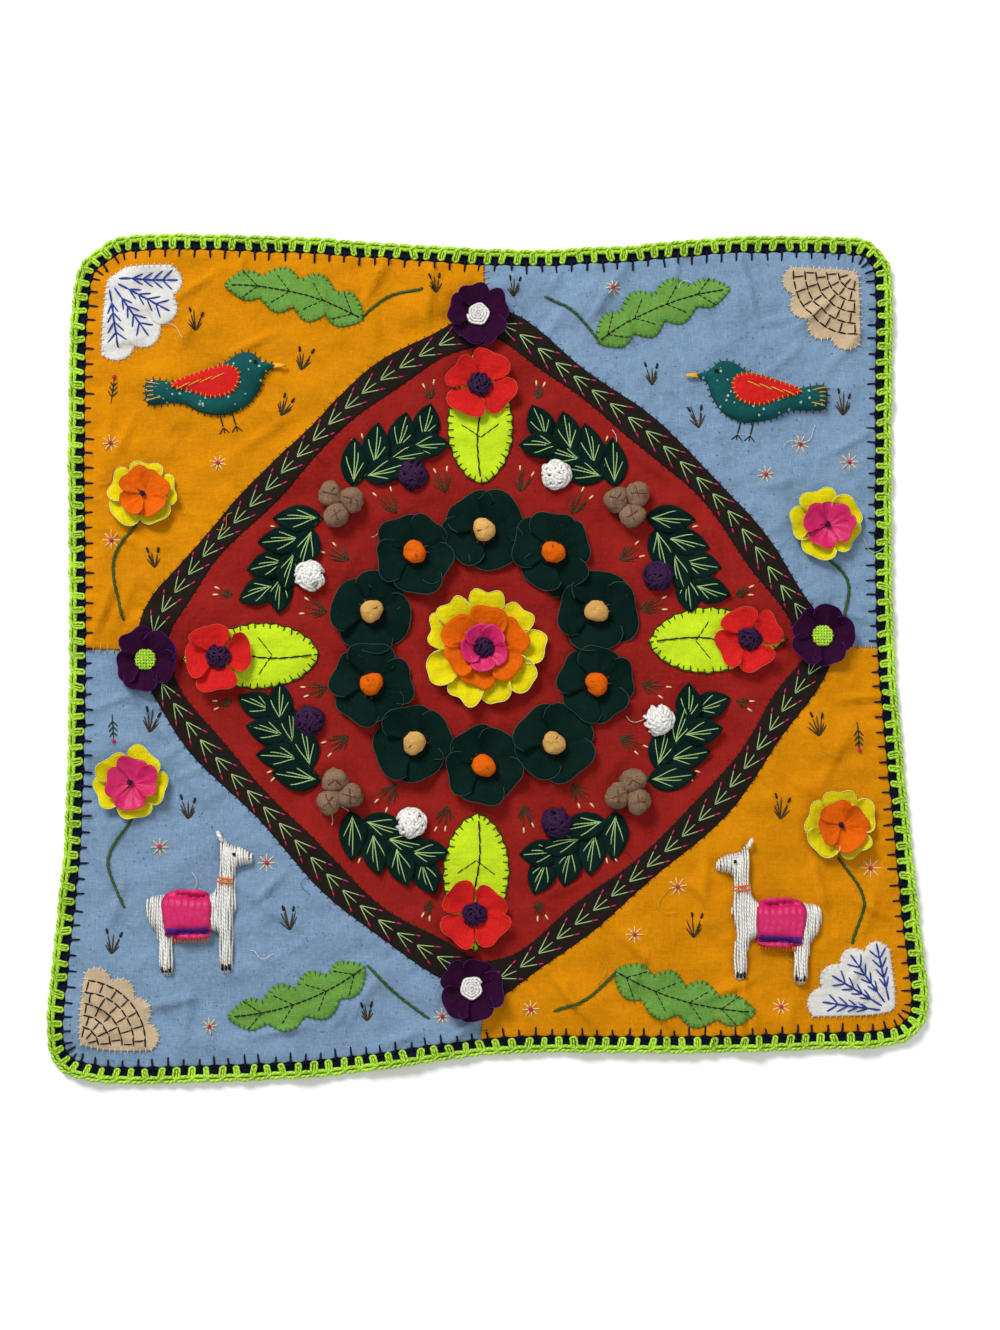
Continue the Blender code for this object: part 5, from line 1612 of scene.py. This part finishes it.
def build_birds(m):
    """Padded birds in dotted cloth, with stitched wings, beaks and tails."""
    wings, gold, dark, legs, seams = [], [], [], [], []
    for k, bird in enumerate(BIRDS):
        low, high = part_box(f"bird_{bird.name}")
        base, top = low.z / MM, high.z / MM
        at = (bird.x, bird.y, bird.tilt, bird.facing)
        loop = placed(smooth_closed(BIRD, 150), *at)
        body = stuffed(f"bird_body_{bird.name}", loop, base, top - base, 6.5, m["teal"], seed=4 + k)
        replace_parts(body, f"bird_{bird.name}")
        seams.append(stitch_tubes(edge_ticks(anticlockwise(loop), 3.3, 1.3, 0.8, 20 + k), 0.24, lift=0.2))
        wing_loop = placed(smooth_closed(WING, 80), *at)
        wing = cloth(f"bird_wing_{bird.name}", anticlockwise(wing_loop), 0.0, 1.2, m["scarlet"],
                     pitch=1.5, under=flat_level(top - 0.3), puff=0.8, pucker=Pucker(3.4, 0.35, 2.4))
        wings.append(stitch_tubes(edge_ticks(wing_loop, 2.6, 0.4, 1.6, k), 0.24,
                                  over=flat_level(top + 0.8)))
        for row in range(4):
            feather = placed([(4 - 6 * row, 4.6 - 0.8 * row), (-3 - 6 * row, 2.2 - 0.8 * row)], *at)
            wings.append(stitch_tubes(feather.reshape(1, 4), 0.3, over=flat_level(top + 1.5)))
        for side in (-0.9, 0.0, 0.9):
            beak = placed([(29.0, 6.0 + side), (35.5, 5.2 + 0.2 * side)], *at).reshape(1, 4)
            gold.append(stitch_tubes(beak, 0.55, over=flat_level(base + 2.6)))
        for row in range(5):
            tail = placed([(-36.5, 6.2 - 2.4 * row), (-29.5, 4.0 - 1.6 * row)], *at).reshape(1, 4)
            gold.append(stitch_tubes(tail, 0.3, over=flat_level(top - 0.9)))
        dark += knot_balls(placed([(20.5, 8.6)], *at), 1.1, over=flat_level(top - 0.4), seed=k)
        for x in (-1.5, 5.0):
            leg = placed([(x, -15), (x + 1, -22)], *at).reshape(1, 4)
            legs.append(stitch_tubes(leg, 0.4))
            for toe in (-2.6, 0.4, 3.0):
                foot = placed([(x + 1, -22), (x + 1 + toe, -25.2)], *at).reshape(1, 4)
                legs.append(stitch_tubes(foot, 0.3))
    yarn_piece("bird_wing_stitches", wings, m["gold_yarn"])
    yarn_piece("bird_beaks", gold, m["gold_yarn"])
    yarn_piece("bird_eyes", dark, m["brown_yarn"])
    yarn_piece("bird_legs", legs, m["brown_yarn"])
    yarn_piece("bird_seams", seams, m["green_yarn"])


def fishbone(x, y, heading, length, barbs):
    """A thread sprig: a stem and slanted pairs of stitches, as segments, and its tip."""
    c, s = math.cos(math.radians(heading)), math.sin(math.radians(heading))
    found = [(x, y, x + length * c, y + length * s)]
    for k in range(barbs):
        at = length * (0.28 + 0.6 * k / barbs)
        for side in (-1, 1):
            a = math.radians(heading + side * 38)
            reach = length * 0.30 * (1 - 0.35 * k / barbs)
            found.append((x + at * c, y + at * s, x + at * c + reach * math.cos(a),
                          y + at * s + reach * math.sin(a)))
    return found, (x + length * 1.02 * c, y + length * 1.02 * s)


def star(x, y, radius, arms, turn):
    angles = math.radians(turn) + math.tau * np.arange(arms) / arms
    return [(x + 0.16 * radius * math.cos(a), y + 0.16 * radius * math.sin(a),
             x + radius * math.cos(a), y + radius * math.sin(a)) for a in angles]


def tuft(x, y, heading, length, seed):
    """Straight stitches fanned from one point: blades, and the small tips beyond some of them."""
    draw = np.random.default_rng(seed)
    blades, tips = [], []
    for k, fan in enumerate((-36, -17, -24, 12, 3, 24, 38)):
        a = math.radians(heading + fan + draw.uniform(-5, 5))
        reach = length * (1 - 0.011 * abs(fan)) * draw.uniform(0.85, 1.1)
        c, s = math.cos(a), math.sin(a)
        blades.append((x, y, x + reach * c, y + reach * s))
        if k in (1, 3):
            tips.append((x + (reach + 0.4) * c, y + (reach + 0.4) * s,
                         x + (reach + 3.2) * c, y + (reach + 3.2) * s))
    return blades, tips


EDGE_ROOM = 20.0

# On the corner cloths: kind, x, y, heading or turn, size
FILLING = [
    ("tuft", -150, 166, 92, 11), ("tuft", -96, 146, 78, 11), ("sprig", -198, 128, 84, 14),
    ("star", -204, 108, 10, 4.6), ("tuft", -106, 122, 66, 12), ("star", -201, 58, 0, 5),
    ("tuft", -170, 44, 98, 10), ("star", -138, 98, 30, 4.5), ("tuft", -26, 194, 100, 9),
    ("tuft", 84, 138, 92, 10), ("tuft", 197, 122, 86, 12),
    ("star", 196, 98, 0, 5), ("tuft", 108, 116, 104, 12), ("star", 160, 108, 20, 5),
    ("tuft", 13, 192, 84, 9),
    ("star", 142, 92, 10, 4.5), ("star", 64, 192, 10, 4.5),
    ("sprig", -200, -30, -84, 14), ("star", -166, -98, 0, 5.0), ("tuft", -172, -40, 80, 12),
    ("star", -112, -106, 0, 5), ("tuft", -100, -140, 96, 13), ("tuft", -190, -152, 86, 11),
    ("star", -140, -188, 10, 4.5), ("tuft", -60, -192, 92, 9),
    ("tuft", -152, -84, 90, 11), ("star", -22, -190, 5, 4.5),
    ("sprig", 196, -34, -86, 14), ("star", 199, -108, 0, 5.5), ("tuft", 168, -42, 98, 12),
    ("star", 96, -118, 12, 5), ("tuft", 104, -144, 86, 13), ("star", 148, -186, 20, 4.5),
    ("star", 74, -142, 0, 4.5),
    ("tuft", 148, -84, 84, 11), ("star", 22, -188, 5, 4.5),
]

# On the diamond: distance from the middle, angle, size; each points outwards
RED_TUFTS = [(distance, turn + 90 * quarter, size)
             for quarter in range(4)
             for distance, turn, size in ((82, 33, 14), (82, 57, 14), (82, 14, 13), (82, 77, 13),
                                          (117, 31, 8), (117, 59, 8), (131, 12, 8), (131, 78, 8))]


def clear_of_rim(x, y, room):
    """A place moved inwards until it is clear of the edge stitches."""
    away = np.linalg.norm(RIM_POINTS - (x, y), axis=1)
    nearest = int(away.argmin())
    shift = max(0.0, room - float(away[nearest])) * RIM_NORMALS[nearest]
    return x + shift[0], y + shift[1]


def build_tufts(m):
    """Fans of straight stitches over the whole cloth, some with bright tips."""
    dark, dark_tips, olive, olive_tips = [], [], [], []
    for number, (kind, x, y, turn, size) in enumerate(FILLING):
        if kind == "tuft":
            x, y = clear_of_rim(x, y, EDGE_ROOM + 5)
            blades, tips = tuft(x, y, turn, size, number)
            dark += blades
            dark_tips += tips
    for number, (distance, turn, size) in enumerate(RED_TUFTS):
        a = math.radians(turn)
        x, y = DESIGN_CENTRE + distance * np.array((math.cos(a), math.sin(a)))
        blades, tips = tuft(x, y, turn, size, 200 + number)
        olive += blades
        olive_tips += tips
    yarn_piece("corner_tufts", [stitch_tubes(dark, 0.34)], m["olive_yarn"])
    yarn_piece("corner_tuft_tips", [stitch_tubes(dark_tips, 0.62)], m["brown_yarn"])
    yarn_piece("red_tufts", [stitch_tubes(olive, 0.34)], m["olive_yarn"])
    yarn_piece("red_tuft_tips", [stitch_tubes(olive_tips, 0.5)], m["cream_yarn"])


def build_thread_work(m):
    """Sprigs, stars, stems and small yarn rosettes that fill the ground."""
    dark, tips, stars, star_knots = [], [], [], []
    for kind, x, y, turn, size in FILLING:
        x, y = clear_of_rim(x, y, EDGE_ROOM + 2)
        if kind == "sprig":
            segments, tip = fishbone(x, y, turn, size, 3)
            dark += segments
            tips.append(tip)
        elif kind == "star":
            stars += star(x, y, size, 8, turn)
            star_knots.append((x, y))
    yarn_piece("sprigs", [stitch_tubes(dark, 0.34)], m["green_yarn"])
    yarn_piece("sprig_tips", knot_balls(tips, 1.2, seed=3), m["pink_yarn"])
    yarn_piece("stars", [stitch_tubes(stars, 0.34)], m["cream_yarn"])
    yarn_piece("star_knots", knot_balls(star_knots, 1.1, seed=4), m["pink_yarn"])

    band_green, band_pink = [], []
    middle = (resampled(FRAME_LOOP, 84) + resampled(RED_LOOP, 84)) / 2
    along = np.roll(middle, -1, 0) - np.roll(middle, 1, 0)
    along /= np.linalg.norm(along, axis=1)[:, None]
    across = np.column_stack([-along[:, 1], along[:, 0]])
    for k in range(84):
        p, a, n = middle[k], along[k], across[k]
        way = 1 if k < 42 else -1
        tip = p + a * 4.2 * way
        for side in (-4.0, 0.0, 4.0):
            end = p - a * (4.4 if side else 5.4) * way + n * side
            band_green.append((*tip, *end))
            if side:
                far = end + (end - tip) * 0.28
                band_pink.append((*end, *far))
    yarn_piece("band_sprays", [stitch_tubes(band_green, 0.27)], m["pale_yarn"])
    yarn_piece("band_tips", [stitch_tubes(band_pink, 0.42)], m["pink_yarn"])

    white, purple = [], []
    for k in range(8):
        angle = math.tau * (k + 0.5) / 8
        x, y = DESIGN_CENTRE + 96 * np.array((math.cos(angle), math.sin(angle)))
        level = float(surface(np.array([x]), np.array([y]))[0])
        group = white if k % 2 else purple
        group += yarn_dome(x, y, level, 8.2, 6.0, 1.05, 34, k)
    yarn_piece("white_rosettes", white, m["white_yarn"])
    yarn_piece("purple_rosettes", purple, m["purple_yarn"])

    stems = []
    for points in (
        [(-178, 68), (-191, 48), (-186, 18)], [(170, 52), (184, 36), (178, 8)],
        [(-180, -84), (-192, -104), (-184, -128)], [(178, -104), (190, -124), (184, -146)],
        [(-66, 172), (-52, 184), (-34, 188)], [(58, 160), (44, 176), (30, 184)],
        [(-60, -158), (-46, -172), (-30, -184)], [(66, -160), (50, -174), (34, -180)],
    ):
        line = smooth_open(points, 30)
        stems.append(stitch_tubes(line_stitches(line, 3.8, -0.3, 0.08), 0.72))
    yarn_piece("stems", stems, m["stem_yarn"])


CORNER_PATCHES = [
    ("nw", (-208, 204), "white", "white"),
    ("ne", (201, 204), "linen", "cream"),
    ("sw", (-216, -206), "linen", "cream"),
    ("se", (212, -192), "white", "white"),
]
PATCH_SPAN = 50.0
PATCH_INSET = 16.5
PATCH_TOP = 1.0
PATCH_LOBES = 4


def on_patch(x, y):
    return surface(x, y) + PATCH_TOP


def build_corner_patches(m):
    """A scalloped fan of plain cloth in each corner, with stitched ribs."""
    step = np.linalg.norm(RIM_POINTS - np.roll(RIM_POINTS, 1, 0), axis=1).mean()
    blue, dark, pale = [], [], []
    for number, (name, corner, kind, slot) in enumerate(CORNER_PATCHES):
        nearest = int(np.linalg.norm(RIM_POINTS - corner, axis=1).argmin())
        stations = nearest + np.linspace(-PATCH_SPAN, PATCH_SPAN, 36) / step
        outer = rim_place(stations / RIM_STATIONS, np.full(36, PATCH_INSET))
        apex = (outer[17] + outer[18]) / 2
        first, last = outer[-1] - apex, outer[0] - apex
        start = math.atan2(first[1], first[0])
        sweep = (math.atan2(last[1], last[0]) - start) % math.tau
        radius = (np.linalg.norm(first) + np.linalg.norm(last)) / 2

        def fan(share, reach):
            """Points at shares of the way across the fan, and of the way out."""
            share, reach = np.broadcast_arrays(np.asarray(share, float), np.asarray(reach, float))
            a = start + sweep * share
            return apex + radius * reach[..., None] * np.stack([np.cos(a), np.sin(a)], axis=-1)

        s = np.linspace(0, 1, 82)[1:-1]
        ends = (np.linalg.norm(first) * (1 - s) + np.linalg.norm(last) * s) / radius
        inner = fan(s, ends - 0.03 + 0.13 * np.abs(np.sin(PATCH_LOBES * np.pi * s)) ** 0.7)
        loop = resampled(anticlockwise(np.vstack([outer, inner])), 220)
        patch = cloth(f"corner_patch_{name}", loop, 0.1, PATCH_TOP, m[kind], pitch=2.0,
                      under=surface, pucker=Pucker(3.4, 0.5, 4.0), seed=number)
        pale.append(stitch_tubes(edge_ticks(loop, 3.0, 0.7, 1.5, 300 + number, 0.3), 0.22, over=on_patch))
        if kind == "white":
            for lobe in range(PATCH_LOBES):
                share = (lobe + 0.5) / PATCH_LOBES
                rib = fan(share, np.linspace(0.16, 0.98, 14))
                blue.append(stitch_tubes(line_stitches(rib, 6.0, -0.05), 0.50, over=on_patch))
                for reach in (0.34, 0.48, 0.62, 0.76):
                    for way in (-1, 1):
                        ends = fan((share, share + 0.085 * way), (reach, reach + 0.16))
                        blue.append(stitch_tubes(ends.reshape(1, 4), 0.42, over=on_patch))
        else:
            rows = (0.26, 0.42, 0.58, 0.74, 0.90)
            for row, reach in enumerate(rows):
                arc = fan(np.linspace(0.03, 0.97, 20), reach)
                dark.append(stitch_tubes(line_stitches(arc, 5.2, 0.02), 0.40, over=on_patch))
                bricks = 3 + row
                for k in range(bricks):
                    share = (k + (0.35 if row % 2 else 0.65)) / bricks
                    ends = fan(share, (reach - 0.15, reach - 0.01))
                    dark.append(stitch_tubes(ends.reshape(1, 4), 0.38, over=on_patch))
    yarn_piece("patch_blue_ribs", blue, m["blue_yarn"])
    yarn_piece("patch_dark_ribs", dark, m["brown_yarn"])
    yarn_piece("patch_whipping", pale, m["white_yarn"])


LOOSE_THREADS = [
    ("gold_yarn", "ochre", ((-92, 170), (-60, 196), (-186, 96), (-130, 72), (150, -150), (182, -60),
                            (120, -186), (92, -118), (190, -140), (60, -176))),
    ("white_yarn", "white", ((-176, 178), (92, 184), (190, 60), (168, 118), (-192, -70), (-120, -150),
                             (-150, -110), (60, 96), (-70, -80), (184, -178), (-60, 60), (88, -40))),
    ("brown_yarn", "brown", ((-98, 108), (112, 64), (-90, -110), (70, -110), (30, 60), (-30, -128))),
]


def build_loose_threads(m):
    """Fine ends of sewing thread lying in curls on the cloths."""
    for number, (kind, slot, places) in enumerate(LOOSE_THREADS):
        draw = np.random.default_rng(700 + number)
        parts = []
        for x, y in places:
            steps = 34
            turn = draw.uniform(0, math.tau) + np.cumsum(
                0.16 * np.sin(np.linspace(0, draw.uniform(4, 9), steps) + draw.uniform(0, 6)))
            reach = draw.uniform(0.4, 0.8)
            px = x + np.cumsum(reach * np.cos(turn))
            py = y + np.cumsum(reach * np.sin(turn))
            z = surface(px, py) + 1.3 + 0.5 * np.sin(np.linspace(0, 5, steps) + x)
            parts.append(tubes(np.column_stack([px, py, z])[None], 0.14, 5))
        yarn_piece(f"loose_threads_{slot}", parts, m[kind])


def build_stage():
    """A pale floor, soft studio light, and a camera almost straight above."""
    bpy.ops.mesh.primitive_plane_add(size=12, location=(0, 0, -0.0004))
    floor = bpy.context.object
    floor.name = "floor"
    material, tree, shader = start_material("floor_white")
    shader.inputs["Base Color"].default_value = (0.92, 0.92, 0.92, 1)
    shader.inputs["Roughness"].default_value = 0.9
    floor.data.materials.append(material)

    def area(name, place, size, power):
        data = bpy.data.lights.new(name, "AREA")
        data.shape = "DISK"
        data.size = size
        data.energy = power
        lamp = bpy.data.objects.new(name, data)
        lamp.location = place
        lamp.rotation_euler = (-Vector(place)).to_track_quat("-Z", "Y").to_euler()
        bpy.context.scene.collection.objects.link(lamp)

    area("key", (-1.0, 1.7, 2.0), 1.1, 78)
    area("fill", (1.4, -0.6, 2.4), 2.0, 16)
    world = bpy.data.worlds.new("studio")
    world.use_nodes = True
    world.node_tree.nodes["Background"].inputs["Color"].default_value = (1, 1, 1, 1)
    world.node_tree.nodes["Background"].inputs["Strength"].default_value = 0.50
    bpy.context.scene.world = world
    bpy.context.scene.view_settings.view_transform = "Standard"

    photo_scale = 0.00051
    elevation = math.radians(86)
    distance = 1.3
    target = Vector(((500 - 488) * photo_scale, (660 - 670.5) * photo_scale, 0))
    data = bpy.data.cameras.new("camera")
    data.sensor_width = 36
    data.lens = 36 * distance / (1330 * photo_scale)
    camera = bpy.data.objects.new("camera", data)
    away = Vector((0, -math.cos(elevation), math.sin(elevation)))
    camera.location = target + away * distance
    camera.rotation_euler = (-away).to_track_quat("-Z", "Y").to_euler()
    bpy.context.scene.collection.objects.link(camera)
    bpy.context.scene.camera = camera


def main():
    for old in list(bpy.data.objects):
        bpy.data.objects.remove(old)
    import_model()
    m = make_materials()
    build_stage()
    build_field(m)
    build_edging(m)
    build_centre(m)
    build_long_leaves(m)
    build_fronds(m)
    build_garlands(m)
    build_flowers(m)
    build_llamas(m)
    build_birds(m)
    build_thread_work(m)
    build_tufts(m)
    build_corner_patches(m)
    build_loose_threads(m)


main()
